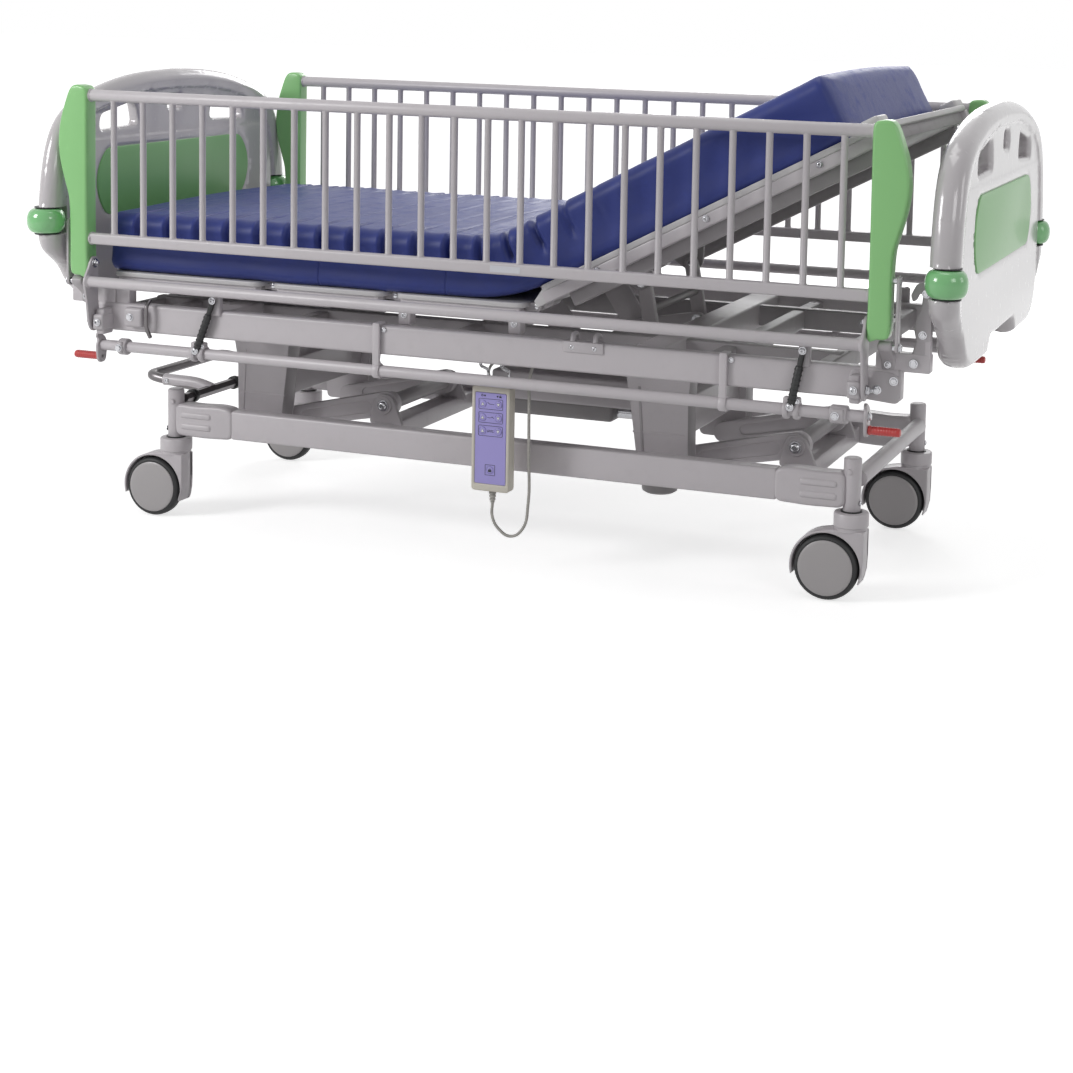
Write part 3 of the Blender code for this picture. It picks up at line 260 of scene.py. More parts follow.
def plated(name, colour, rough, scratch=0.10):
    """Plated or polished steel with fine scratches and a few dull spots."""
    finish = Finish(name, colour, rough, 1.0)
    fine = finish.noise(900.0, 3.0, 0.6, (1.0, 0.15, 1.0))
    spots = finish.band(finish.noise(85.0, 4.0, 0.7), 0.55, 0.75)
    # the second layer is painted shade, darker in inner corners
    finish.paint((spots * 0.4, tinted(colour, 0.72)), (finish.painted_corner_shade() * 0.6, tinted(colour, 0.4)))
    finish.feed("Roughness", rough + fine * scratch + spots * 0.14)
    finish.relief((fine, 0.05, 0.0002))
    return finish


def moulded(name, colour, rough, coat=0.0, grain=0.0):
    """Moulded plastic: faint flow marks, scuffs, and a fine grain where it has one."""
    finish = Finish(name, colour, rough, 0.0, {"Coat Weight": coat, "Coat Roughness": 0.08})
    flow = finish.noise(3.5, 3.0, 0.55)
    scuff = finish.band(finish.noise(60.0, 5.0, 0.7, (1.0, 2.2, 0.6)), 0.60, 0.72)
    finish.paint((finish.band(flow, 0.35, 0.7) * 0.4, tinted(colour, 0.94)),
                 (scuff * 0.22, tinted(colour, 1.14)),
                 # painted shade: darker in inner corners
                 (finish.painted_corner_shade() * 0.5, tinted(colour, 0.55)),
                 (finish.edges() * 0.25, tinted(colour, 1.15)))
    finish.feed("Roughness", rough + scuff * 0.15 + flow * 0.05)
    finish.relief((finish.noise(9.0, 2.0), 0.06, 0.004),
                  (finish.cells(1400.0) if grain else finish.noise(700.0), grain or 0.03, 0.0003))
    return finish


def coated_cloth(name, colour):
    """Wipe-clean knitted cover: a fine knit under a thin coating, soft folds and pale rubbing."""
    finish = Finish(name, colour, 0.50, 0.0, {"Sheen Weight": 0.05, "Sheen Roughness": 0.4,
                                              "Specular IOR Level": 0.30})
    cloud = finish.noise(4.0, 4.0, 0.6)
    crease = finish.noise(11.0, 3.0, 0.55, (0.5, 1.6, 1.0))
    rub = finish.band(finish.noise(26.0, 5.0, 0.7), 0.50, 0.74)
    knit = finish.waves(520.0, "X") * finish.waves(520.0, "Y")
    finish.paint((finish.band(cloud, 0.3, 0.7) * 0.5, tinted(colour, 0.82)),
                 (rub * 0.35, tinted(colour, 1.35)),
                 # painted highlight: paler on the raised crests of the fold bumps
                 (finish.band(crease, 0.48, 0.62) * 0.12, tinted(colour, 1.2)),
                 # painted shade: darker in the sewn channels and other inner corners
                 (finish.painted_corner_shade(0.49, 0.40) * 0.6, tinted(colour, 0.35)))
    finish.feed("Roughness", 0.42 + rub * 0.16 + knit * 0.05)
    finish.relief((crease, 0.20, 0.006), (finish.noise(45.0, 3.0), 0.18, 0.0012),
                  (knit, 0.10, 0.0003))
    return finish


def rubbery(name, colour, rough):
    finish = Finish(name, colour, rough)
    dust = finish.band(finish.noise(70.0, 4.0, 0.7), 0.45, 0.75)
    finish.paint((dust * 0.5, tinted(colour, 2.2)), (finish.edges() * 0.3, tinted(colour, 1.8)))
    finish.feed("Roughness", rough + dust * 0.2 - 0.05)
    finish.relief((finish.noise(600.0, 3.0), 0.15, 0.0003))
    return finish


def laminated(name, colour):
    """Pressed laminate board with a faint speckle."""
    finish = Finish(name, colour, 0.36)
    speckle = finish.band(finish.noise(420.0, 2.0), 0.52, 0.66)
    cloud = finish.noise(6.0, 3.0)
    finish.paint((speckle * 0.25, tinted(colour, 0.85)),
                 (finish.band(cloud, 0.4, 0.7) * 0.3, tinted(colour, 0.93)),
                 # painted shade: darker in inner corners
                 (finish.painted_corner_shade() * 0.5, tinted(colour, 0.5)))
    finish.feed("Roughness", 0.32 + speckle * 0.08 + cloud * 0.08)
    finish.relief((finish.noise(300.0, 2.0), 0.05, 0.0004))
    return finish


COAT_COLOUR = (0.560, 0.528, 0.550)
COAT = powder_coat("grey powder coat finish", COAT_COLOUR)
CAST = powder_coat("cast bracket finish", tinted(COAT_COLOUR, 0.88), 0.40)
# a darker copy of the grey coat: painted shade for the mechanism, trays and frames that sit in
# shade under the deck
PAINTED_SHADE_COAT = powder_coat("painted shade coat finish", tinted(COAT_COLOUR, 0.62), 0.42)
CHROME = plated("chrome finish", (0.46, 0.46, 0.48), 0.16)
PLATE_STEEL = powder_coat("swing plate finish", tinted(COAT_COLOUR, 1.02), 0.30)
DARK_STEEL = plated("dark steel finish", (0.17, 0.16, 0.165), 0.26)
GREEN = moulded("green post finish", (0.270, 0.600, 0.225), 0.30, 0.25)
GREEN_GLOSS = moulded("green bumper finish", (0.205, 0.560, 0.215), 0.16, 0.6)
INLAY = moulded("green inlay finish", (0.240, 0.540, 0.210), 0.34, 0.1, 0.08)
BOARD = moulded("grey board finish", (0.560, 0.530, 0.548), 0.18, 0.6)
BLACK = moulded("black plastic finish", (0.010, 0.010, 0.011), 0.38)
COVER = coated_cloth("blue cover finish", (0.034, 0.050, 0.225))
TYRE = rubbery("tyre finish", (0.010, 0.010, 0.011), 0.60)
HUB = moulded("wheel disc finish", (0.420, 0.400, 0.405), 0.36, 0.15, 0.06)
GRIP = moulded("red grip finish", (0.520, 0.030, 0.028), 0.36, 0.3)
SHELL = moulded("beige shell finish", (0.640, 0.605, 0.530), 0.42, 0.0, 0.16)
MEMBRANE = moulded("lilac keypad finish", (0.370, 0.330, 0.690), 0.40, 0.0, 0.12)
INK = moulded("black print finish", (0.012, 0.012, 0.015), 0.45)
WHITE_INK = moulded("white print finish", (0.780, 0.780, 0.760), 0.45)
CORD_SKIN = rubbery("grey cord finish", (0.330, 0.320, 0.300), 0.55)
MOTOR = moulded("motor housing finish", (0.300, 0.285, 0.292), 0.45, 0.0, 0.12)
LAMINATE = laminated("deck laminate finish", (0.600, 0.585, 0.590))
LABEL = laminated("bare label finish", (0.640, 0.645, 0.690))


# hand control cord: the route of the part, drawn before all else that shows
RELIEF_TOP = HAND_Z - HAND_H / 2 + 0.004
RELIEF_LONG = 0.028
CORD_TOP = RELIEF_TOP - RELIEF_LONG - 0.0003
CORD_ROUTE = [(HAND_X, HAND_Y, CORD_TOP), (HAND_X, HAND_Y, CORD_TOP - 0.028),
              (HAND_X + 0.014, HAND_Y + 0.002, 0.078), (HAND_X + 0.038, HAND_Y + 0.006, 0.066),
              (HAND_X + 0.060, HAND_Y + 0.010, 0.082), (HAND_X + 0.070, HAND_Y + 0.012, 0.130),
              (HAND_X + 0.070, HAND_Y + 0.012, 0.230), (HAND_X + 0.070, HAND_Y + 0.010, 0.330),
              (HAND_X + 0.074, HAND_Y + 0.004, 0.385), (HAND_X + 0.090, -0.3670, 0.417),
              (HAND_X + 0.120, -0.3672, 0.430), (0.230, -0.3672, 0.431), (0.300, -0.3640, 0.431),
              (0.322, -0.350, 0.432), (0.3275, -0.325, 0.432), (0.3275, -0.240, 0.432),
              (0.3275, -0.110, 0.432), (0.320, -0.075, 0.426), (0.290, -0.046, 0.402),
              (0.255, -0.028, 0.372), (0.215, -0.015, 0.344), (0.180, -0.006, 0.3325),
              (0.130, 0.0, 0.3315), (0.0, 0.0, 0.3315), (-0.060, 0.004, 0.3315),
              (-0.100, 0.010, 0.334), (-0.128, 0.014, 0.331), (-0.144, 0.015, 0.316),
              (-0.144, 0.015, 0.298), (-0.1303, 0.015, 0.288), (-0.1103, 0.015, 0.288)]


def make_cord():
    data = bpy.data.curves.new("hand control cord", "CURVE")
    data.dimensions = "3D"
    data.bevel_depth = CORD_R
    data.bevel_resolution = 3
    data.resolution_u = 8
    data.use_fill_caps = True
    line = data.splines.new("BEZIER")
    line.bezier_points.add(len(CORD_ROUTE) - 1)
    for point, place in zip(line.bezier_points, CORD_ROUTE):
        point.co = place
        point.handle_left_type = "AUTO"
        point.handle_right_type = "AUTO"
    cord = shown("hand_control_cord", data)
    data.materials.append(CORD_SKIN.material)
    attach(cord, "upper_frame")
    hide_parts("hand_cord")


make_cord()


# solids
def as_mesh(bm, face_out=True):
    if face_out:
        bmesh.ops.recalc_face_normals(bm, faces=bm.faces)
    mesh = bpy.data.meshes.new("solid")
    bm.to_mesh(mesh)
    bm.free()
    return mesh


def block(low, high, edge=0.0015, steps=2):
    """A box with rounded edges, from any two opposite corners."""
    bm = bmesh.new()
    bmesh.ops.create_cube(bm, size=1.0)
    bmesh.ops.scale(bm, vec=[abs(high[i] - low[i]) for i in range(3)], verts=bm.verts)
    if edge:
        bmesh.ops.bevel(bm, geom=bm.edges[:], offset=edge, segments=steps, profile=0.5,
                        affect="EDGES")
    bmesh.ops.translate(bm, vec=[(low[i] + high[i]) / 2 for i in range(3)], verts=bm.verts)
    return as_mesh(bm)


def side_block(side, x, y, z, edge=0.0015, steps=2):
    """A block given by its distances from the middle plane, on the near or far side."""
    return block((x[0], side * y[0], z[0]), (x[1], side * y[1], z[1]), edge, steps)


def turned(profile, origin, axis, steps=32):
    """A turned solid; profile is (radius, height) pairs along the axis."""
    bm = bmesh.new()
    rows = []
    for radius, height in profile:
        if radius < 1e-6:
            rows.append([bm.verts.new((0.0, 0.0, height))])
        else:
            rows.append([bm.verts.new((radius * cos(2 * pi * k / steps),
                                       radius * sin(2 * pi * k / steps), height))
                         for k in range(steps)])
    for low, top in zip(rows, rows[1:]):
        for k in range(steps):
            corners = []
            for row, index in ((low, k), (low, k + 1), (top, k + 1), (top, k)):
                corner = row[index % len(row)]
                if corner not in corners:
                    corners.append(corner)
            if len(corners) > 2:
                bm.faces.new(corners)
    turn = Vector(axis).to_track_quat("Z", "Y").to_matrix().to_4x4()
    bm.transform(Matrix.Translation(origin) @ turn)
    return as_mesh(bm)


def bar(start, end, radius, edge=0.001, sides=24):
    """A round bar with softened rims."""
    start, end = Vector(start), Vector(end)
    long = (end - start).length
    profile = [(0.0, 0.0), (radius - edge, 0.0), (radius - edge * 0.3, edge * 0.3), (radius, edge),
               (radius, long - edge), (radius - edge * 0.3, long - edge * 0.3),
               (radius - edge, long), (0.0, long)]
    return turned(profile, start, end - start, sides)


def from_curve(data):
    holder = bpy.data.objects.new("outline", data)
    mesh = bpy.data.meshes.new_from_object(holder)
    bpy.data.objects.remove(holder, do_unlink=True)
    bpy.data.curves.remove(data)
    bm = bmesh.new()
    bm.from_mesh(mesh)
    bpy.data.meshes.remove(mesh)
    bmesh.ops.remove_doubles(bm, verts=bm.verts, dist=0.00001)
    return bm


ACROSS = {"X": Matrix(((0, 0, 1, 0), (1, 0, 0, 0), (0, 1, 0, 0), (0, 0, 0, 1))),
          "Y": Matrix(((1, 0, 0, 0), (0, 0, -1, 0), (0, 1, 0, 0), (0, 0, 0, 1))),
          "Z": Matrix.Identity(4)}


def plate(outline, thick, across, centre, edge=0.0012, holes=(), steps=2):
    """A flat outline, with its holes, given thickness and rounded edges. Across X it lies in
    Y and Z, across Y in X and Z, across Z in X and Y."""
    data = bpy.data.curves.new("outline", "CURVE")
    data.dimensions = "2D"
    data.fill_mode = "BOTH"
    data.extrude = thick / 2 - edge
    data.bevel_depth = edge
    data.bevel_resolution = steps - 1
    data.offset = -edge
    for loop in (outline, *holes):
        line = data.splines.new("POLY")
        line.points.add(len(loop) - 1)
        line.use_cyclic_u = True
        for slot, (u, v) in zip(line.points, loop):
            slot.co = (u, v, 0.0, 1.0)
    bm = from_curve(data)
    bm.transform(ACROSS[across])
    shift = {"X": (centre, 0, 0), "Y": (0, centre, 0), "Z": (0, 0, centre)}[across]
    bm.transform(Matrix.Translation(shift))
    return as_mesh(bm)


def pipe(points, radius, sides=4, bend=0.0):
    """A round bar along points, its corners bent to a radius."""
    route = bent(points, bend) if bend else points
    data = bpy.data.curves.new("outline", "CURVE")
    data.dimensions = "3D"
    data.bevel_depth = radius
    data.bevel_resolution = sides
    data.use_fill_caps = True
    line = data.splines.new("POLY")
    line.points.add(len(route) - 1)
    for slot, point in zip(line.points, route):
        slot.co = (*point, 1.0)
    return as_mesh(from_curve(data))


def rounded(before, corner, after, radius, share, steps):
    """The curve that replaces a corner, to the radius or to a share of the shorter edge."""
    corner = Vector(corner)
    back, ahead = Vector(before) - corner, Vector(after) - corner
    reach = min(radius, back.length * share, ahead.length * share)
    first, last = corner + back.normalized() * reach, corner + ahead.normalized() * reach
    return [(1 - t) ** 2 * first + 2 * t * (1 - t) * corner + t * t * last
            for t in (k / steps for k in range(steps + 1))]


def bent(points, radius, steps=6):
    """The open route with each corner replaced by a curve."""
    route = [Vector(points[0])]
    for corner_points in zip(points, points[1:], points[2:]):
        route += rounded(*corner_points, radius, 0.48, steps)
    return route + [Vector(points[-1])]


def softened(corners, radius, steps=5):
    """The closed outline with every corner rounded to the radius, or to what its edges allow."""
    points = []
    for before, corner, after in zip(corners[-1:] + corners[:-1], corners,
                                     corners[1:] + corners[:1]):
        points += [tuple(p) for p in rounded(before, corner, after, radius, 0.46, steps)]
    return points


def smooth(places, steps):
    """From the second of four places towards the third, on a smooth run through them all."""
    p0, p1, p2, p3 = (Vector(place) for place in places)
    points = []
    for k in range(steps):
        t = k / steps
        points.append(tuple(0.5 * (2 * p1 + (p2 - p0) * t
                                   + (2 * p0 - 5 * p1 + 4 * p2 - p3) * t * t
                                   + (3 * p1 - p0 - 3 * p2 + p3) * t ** 3)))
    return points


def flowing(corners, steps=4):
    """A closed smooth outline through the corners."""
    count = len(corners)
    points = []
    for i in range(count):
        points += smooth([corners[(i + k) % count] for k in (-1, 0, 1, 2)], steps)
    return points


def flowing_half(half):
    """A smooth run through the half outline, kept on its own side of the middle."""
    last = len(half) - 1
    points = []
    for i in range(last):
        points += smooth((half[max(i - 1, 0)], half[i], half[i + 1], half[min(i + 2, last)]), 3)
    return points + [half[-1]]


def rectangle(u0, u1, v0, v1):
    return [(u0, v0), (u1, v0), (u1, v1), (u0, v1)]


def arc(centre, radius, degrees):
    return [(centre[0] + radius * cos(radians(a)), centre[1] + radius * sin(radians(a)))
            for a in degrees]


def pin(side, at, start, stop, radius):
    """A round bar across the bed at (x, z), on the near or far side."""
    return bar((at[0], side * start, at[1]), (at[0], side * stop, at[1]), radius)


def shaft(end, start, stop, y, z, radius, edge=0.001):
    """A round bar along the bed, by distances from the middle of the guards."""
    return bar((guard_x(end, start), y, z), (guard_x(end, stop), y, z), radius, edge)


def strap(start, end, radius_start, radius_end, steps=14):
    """Outline of a flat arm with a round end about each of two points."""
    a, b = Vector(start), Vector(end)
    along = (b - a).normalized()
    across = Vector((-along.y, along.x))
    points = []
    for centre, radius, sign in ((a, radius_start, -1), (b, radius_end, 1)):
        for k in range(steps + 1):
            angle = -pi / 2 + pi * k / steps
            point = centre + sign * (cos(angle) * along * radius + sin(angle) * across * radius)
            points.append((point.x, point.y))
    return points


def ring_outline(centre, radius, steps=20):
    return [(centre[0] + radius * cos(2 * pi * k / steps),
             centre[1] + radius * sin(2 * pi * k / steps)) for k in range(steps)]


class Assembly:
    """Solids that move together, gathered into one shown piece that stands for CAD nodes."""

    def __init__(self, name, body, *nodes):
        self.name = name
        self.body = body
        self.nodes = nodes
        self.bm = bmesh.new()
        self.finishes = []

    def add(self, finish, *solids):
        if finish not in self.finishes:
            self.finishes.append(finish)
        for mesh in solids:
            done = len(self.bm.faces)
            self.bm.from_mesh(mesh)
            self.bm.faces.ensure_lookup_table()
            for face in self.bm.faces[done:]:
                face.material_index = self.finishes.index(finish)
                face.smooth = True
            bpy.data.meshes.remove(mesh)

    def turn(self, pivot, angle):
        """Tilts all that is gathered so far about a hinge line along Y."""
        centre = Vector((pivot[0], 0.0, pivot[1]))
        self.bm.transform(Matrix.Translation(centre) @ Matrix.Rotation(-angle, 4, "Y")
                          @ Matrix.Translation(-centre))

    def build(self, sharp=36.0):
        mesh = bpy.data.meshes.new(self.name)
        self.bm.to_mesh(mesh)
        self.bm.free()
        mesh.set_sharp_from_angle(angle=radians(sharp))
        for finish in self.finishes:
            mesh.materials.append(finish.material)
        obj = shown(self.name, mesh)
        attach(obj, self.body)
        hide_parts(*self.nodes)


# fasteners
def washer(made, at, axis, radius, finish=None):
    made.add(finish or CHROME, turned([(0.0, 0.0), (radius - 0.0003, 0.0), (radius, 0.0004),
                                       (radius, 0.0010), (radius - 0.0004, 0.0014),
                                       (0.0, 0.0014)], at, axis, 24))


def hex_bolt(made, at, axis, radius=0.0075, stud=0.0):
    """A washer, a hexagon head and, where asked, the end of a stud through it."""
    axis = Vector(axis).normalized()
    washer(made, at, axis, radius * 1.35)
    tall = radius * 0.75
    made.add(CHROME, turned([(0.0, 0.001), (radius, 0.001), (radius, tall * 0.8),
                             (radius * 0.86, tall), (0.0, tall)], at, axis, 6))
    if stud:
        profile = [(0.0, 0.0)]
        turns = max(2, round(stud / 0.0012))
        for k in range(turns):
            height = tall + stud * k / turns
            profile += [(radius * 0.52, height), (radius * 0.44, height + stud / turns * 0.5)]
        made.add(CHROME, turned(profile + [(radius * 0.3, tall + stud), (0.0, tall + stud)],
                                at, axis, 14))


def cap_screw(made, at, axis, radius=0.007, ring=None):
    """A domed cap with a socket, on a washer, with a wider ring under it where it has one."""
    axis = Vector(axis).normalized()
    if ring:
        washer(made, at, axis, ring, BLACK)
    washer(made, Vector(at) + axis * 0.001, axis, radius * 1.3)
    made.add(CHROME, turned([(0.0, 0.001), (radius, 0.001), (radius, radius * 0.45),
                             (radius * 0.85, radius * 0.72), (radius * 0.6, radius * 0.85),
                             (radius * 0.45, radius * 0.87), (radius * 0.42, radius * 0.55),
                             (0.0, radius * 0.55)], at, axis, 24))


def side_bolt(made, side, x, y, z, radius):
    """A hexagon bolt that faces outwards, at a distance y from the middle plane."""
    hex_bolt(made, (x, side * y, z), (0, side, 0), radius)


def side_screw(made, side, x, y, z, radius):
    """A cap screw that faces outwards, at a distance y from the middle plane."""
    cap_screw(made, (x, side * y, z), (0, side, 0), radius)


# base, brake and casters
def make_base():
    made = Assembly("base_frame", "base", "base_rail_near", "base_rail_far", "base_cross_head",
                    "base_cross_foot", "base_head_tube")
    for _, side in SIDES:
        inner, outer = CASTER_Y - BASE_HALF_W, CASTER_Y + BASE_HALF_W
        made.add(COAT, side_block(side, (-BASE_JOINT_X, BASE_JOINT_X), (inner, outer),
                                  (BASE_LOW, BASE_TOP), 0.005, 4))
        for end in (-1, 1):
            corner = softened([(end * (BASE_JOINT_X - 0.004), BASE_LOW - 0.001),
                               (end * (BASE_JOINT_X + 0.060), BASE_LOW - 0.004),
                               (end * (CASTER_X - 0.010), BASE_LOW - 0.002),
                               (end * (CASTER_X - 0.010), BASE_TOP + 0.006),
                               (end * (BASE_JOINT_X + 0.085), BASE_TOP + 0.004),
                               (end * (BASE_JOINT_X + 0.030), BASE_TOP + 0.007),
                               (end * (BASE_JOINT_X - 0.004), BASE_TOP + 0.002)], 0.016)
            made.add(COAT, plate(corner, 2 * BASE_HALF_W + 0.005, "Y", side * CASTER_Y, 0.007, (),
                                 4))
            for low in (0.190, 0.214):
                made.add(COAT, side_block(
                    side, end_span(end, BASE_JOINT_X + 0.046, CASTER_X - 0.024),
                    (outer - 0.006, outer + 0.0060), (low, low + 0.014), 0.0055, 4))
            x = end * CASTER_X
            made.add(COAT, turned([(0.0, POST_LOW), (0.0165, POST_LOW), (0.0170, 0.1690),
                                   (0.0170, 0.2675), (0.0162, 0.2700), (0.0135, 0.2715),
                                   (0.0, 0.2720)], (x, side * CASTER_Y, 0.0), (0, 0, 1), 32))
            made.add(BLACK, turned([(0.0171, POST_LOW), (0.0205, POST_LOW), (0.0205, 0.1702),
                                    (0.0171, 0.1706)], (x, side * CASTER_Y, 0.0), (0, 0, 1), 28))
            made.add(COAT, turned([(0.0, 0.0), (0.0052, 0.0), (0.0058, 0.0015), (0.0046, 0.0040),
                                   (0.0, 0.0052)],
                                  (x - end * 0.002, side * (CASTER_Y + 0.0163), 0.2465),
                                  (0, side, 0), 24))
            cap_screw(made, (x + end * 0.0160, side * (CASTER_Y + 0.004), 0.186),
                      (end, 0, 0), 0.0042)
    bracket_y = CASTER_Y - BASE_HALF_W - 0.004
    made.add(COAT, bar((0.742, -bracket_y, 0.227), (0.742, bracket_y, 0.227), 0.016, 0.001, 32))
    for (x, z), half_y in ((HEAD_ARM, bracket_y), (FOOT_ARM, CASTER_Y - BASE_HALF_W)):
        made.add(COAT, block((x - 0.025, -half_y, BASE_LOW), (x + 0.025, half_y, 0.214), 0.004, 3))
        for _, side in SIDES:
            ear = softened([(x - 0.036, BASE_LOW + 0.031), (x + 0.045, BASE_LOW + 0.031),
                            (x + 0.040, BASE_LOW + 0.044), (x + 0.017, z + 0.022),
                            (x - 0.017, z + 0.024), (x - 0.028, z - 0.010)], 0.014)
            made.add(CAST, plate(ear, 0.010, "Y", side * 0.153, 0.003, (), 3))
            made.add(CAST, turned([(0.0, 0.0), (0.0185, 0.0), (0.0190, 0.0012),
                                   (0.0180, 0.0030), (0.0, 0.0034)], (x, side * 0.158, z),
                                  (0, side, 0), 32))
            side_screw(made, side, x, 0.161, z, 0.0095)
    made.build()


def make_brake():
    made = Assembly("brake_pedal_bar", "brake", "brake_bar")
    bracket_y = CASTER_Y - BASE_HALF_W - 0.0045
    made.add(DARK_STEEL, turned([(0.0, 0.0), (0.0108, 0.0), (0.0110, 0.001),
                                 (0.0110, 2 * bracket_y - 0.001), (0.0, 2 * bracket_y)],
                                (HEX_X, -bracket_y, HEX_Z), (0, 1, 0), 6))
    loop = [(HEX_X, -0.150, HEX_Z), (-0.840, -0.150, 0.258), (-0.890, -0.148, 0.265),
            (-0.890, 0.148, 0.265), (-0.840, 0.150, 0.258), (HEX_X, 0.150, HEX_Z)]
    made.add(DARK_STEEL, pipe(loop, 0.0105, 8, 0.036))
    for _, side in SIDES:
        made.add(COAT, pipe([(HEX_X + 0.002, side * 0.150, HEX_Z + 0.002),
                             (HEX_X - 0.026, side * 0.150, HEX_Z + 0.010),
                             (HEX_X - 0.048, side * 0.150, 0.2585),
                             (-0.846, side * 0.150, 0.2592)], 0.0128, 7, 0.022))
        side_screw(made, side, -0.834, 0.1620, 0.2590, 0.0042)
        for y in (0.052, 0.215):
            made.add(BLACK, pin(side, (HEX_X, HEX_Z), y, y + 0.012, 0.0145))
    made.build()


def make_caster(end_name, end, side_name, side):
    x, y = end * CASTER_X, side * CASTER_Y
    axle = (x - TRAIL, y - FORK_Y, WHEEL_R)
    hood = Assembly(f"caster_hood_{end_name}_{side_name}", f"fork_{end_name}_{side_name}",
                    f"caster_fork_{end_name}_{side_name}")
    hood.add(COAT, turned([(0.0, POST_LOW), (0.0280, POST_LOW), (0.0318, 0.1675), (0.0332, 0.1655),
                           (0.0332, 0.1425), (0.0322, 0.1412), (0.0312, 0.1405),
                           (0.0312, 0.1340), (0.0, 0.1340)], (x, y, 0.0), (0, 0, 1), 40))
    inner, outer = axle[1] + 0.017, y + 0.0155
    hub = (axle[0], axle[2])
    crown = arc(hub, 0.0708, range(196, 99, -6))
    neck = [(x - 0.0310, 0.1360), (x + 0.0312, 0.1360), (x + 0.0312, 0.0860),
            (x + 0.0300, 0.0600), (x + 0.0235, 0.0360)]
    back = arc(hub, 0.030, range(-30, -171, -20))
    hood.add(COAT, plate(crown + neck + back, outer - inner, "Y", (inner + outer) / 2, 0.005, (),
                         4))
    lip = arc(hub, 0.0662, range(-22, 197, 6))
    front = axle[1] - 0.0115
    hood.add(COAT, plate(crown + neck + lip, outer - front, "Y", (outer + front) / 2, 0.0021, (),
                         3))
    hood.add(CHROME, bar((axle[0], inner + 0.004, axle[2]), (axle[0], axle[1] - 0.004, axle[2]),
                         0.007))
    cap_screw(hood, (axle[0], outer, axle[2]), (0, 1, 0), 0.009)
    hood.build()
    wheel = Assembly(f"caster_roller_{end_name}_{side_name}", f"wheel_{end_name}_{side_name}",
                     f"caster_wheel_{end_name}_{side_name}")
    wheel.add(TYRE, turned([(0.0500, 0.0120), (0.0535, 0.0138), (0.0575, 0.0134),
                            (0.0604, 0.0110), (0.0620, 0.0065), (0.0625, 0.0), (0.0620, -0.0065),
                            (0.0604, -0.0110), (0.0575, -0.0134), (0.0535, -0.0138),
                            (0.0500, -0.0120), (0.0500, 0.0120)], axle, (0, -1, 0), 64))
    wheel.add(HUB, turned([(0.0, 0.0168), (0.030, 0.0167), (0.0470, 0.0163), (0.0512, 0.0157),
                           (0.0528, 0.0147), (0.0530, 0.0128), (0.0505, 0.0110),
                           (0.0497, -0.0118), (0.040, -0.0125), (0.0095, -0.0128),
                           (0.0095, -0.006), (0.0, -0.006)], axle, (0, -1, 0), 64))
    wheel.build()


# lift arms, leg yokes and drive
def pressed_arm(made, low, top, radius_low, radius_top, side):
    """A pressed arm: a body between two skins with a long oval sunk into them."""
    a, b = Vector(low), Vector(top)
    oval = strap(a.lerp(b, 0.20), a.lerp(b, 0.80), radius_low * 0.50, radius_top * 0.50, 10)
    outline = strap(low, top, radius_low, radius_top)
    made.add(COAT, plate(outline, ARM_OUT - ARM_IN - 0.006, "Y", side * (ARM_IN + ARM_OUT) / 2,
                         0.001))
    for centre in (ARM_IN + 0.0021, ARM_OUT - 0.0021):
        made.add(COAT, plate(outline, 0.0042, "Y", side * centre, 0.0018, (oval,), 3))


def make_lift_arms(name, body, pivot):
    made = Assembly(f"{name}_pressed", body, name)
    low = (pivot[0] + ARM_DX, pivot[1] + ARM_DZ)
    made.add(PAINTED_SHADE_COAT, pin(1, pivot, -0.124, 0.124, 0.016), pin(1, pivot, -0.158, 0.158, 0.008))
    for _, side in SIDES:
        pressed_arm(made, pivot, low, 0.026, 0.022, side)
        made.add(CHROME, pin(side, low, 0.129, 0.177, 0.008))
        made.add(BLACK, pin(side, low, 0.1455, 0.163, 0.012))
    made.build()


def make_leg_yoke(name, pivot, top, foot, cross_x, web_x):
    made = Assembly(f"{name}_folded", "upper_frame", name)
    low_x, low_z = pivot[0] + ARM_DX, pivot[1] + ARM_DZ
    made.add(COAT, block((cross_x[0], -RAIL_IN, RAIL_LOW - 0.004),
                         (cross_x[1], RAIL_IN, RAIL_TOP), 0.005, 3),
             block((web_x[0], -LEG_IN - 0.004, 0.252), (web_x[1], LEG_IN + 0.004, 0.330), 0.004,
                   3))
    for _, side in SIDES:
        outline = softened([(top[0], RAIL_LOW - 0.002), (top[1], RAIL_LOW - 0.002),
                            (top[1] - 0.006, 0.330), (foot[1], low_z - 0.018),
                            (foot[0], low_z - 0.018), (top[0] + 0.014, 0.330)], 0.012)
        middle = side * (LEG_IN + LEG_OUT) / 2
        made.add(PAINTED_SHADE_COAT, plate(outline, LEG_OUT - LEG_IN - 0.005, "Y", middle, 0.002))
        slots = []
        span = top[1] - top[0]
        for start in (0.16, 0.56):
            x = top[0] + span * start
            slots.append(softened([(x, 0.4045), (x + span * 0.19, 0.4045),
                                   (x + span * 0.15, 0.3885), (x + span * 0.05, 0.3885)],
                                  0.003, 3))
        for y in (LEG_IN + 0.0015, LEG_OUT - 0.0015):
            made.add(COAT, plate(outline, 0.003, "Y", side * y, 0.0012, slots))
        fold = top[0] + span * 0.24
        made.add(COAT, plate([(fold - 0.0025, 0.355), (fold + 0.0025, 0.355),
                              (foot[0] + 0.013, low_z), (foot[0] + 0.008, low_z)], 0.002, "Y",
                             side * (LEG_OUT + 0.0006), 0.0008))
        made.add(COAT, side_block(side, (top[0] + 0.022, top[1] - 0.012),
                                  (LEG_OUT - 0.001, LEG_OUT + 0.0012), (0.262, 0.266), 0.0009))
        side_bolt(made, side, low_x, LEG_OUT, low_z, 0.0072)
    made.build()


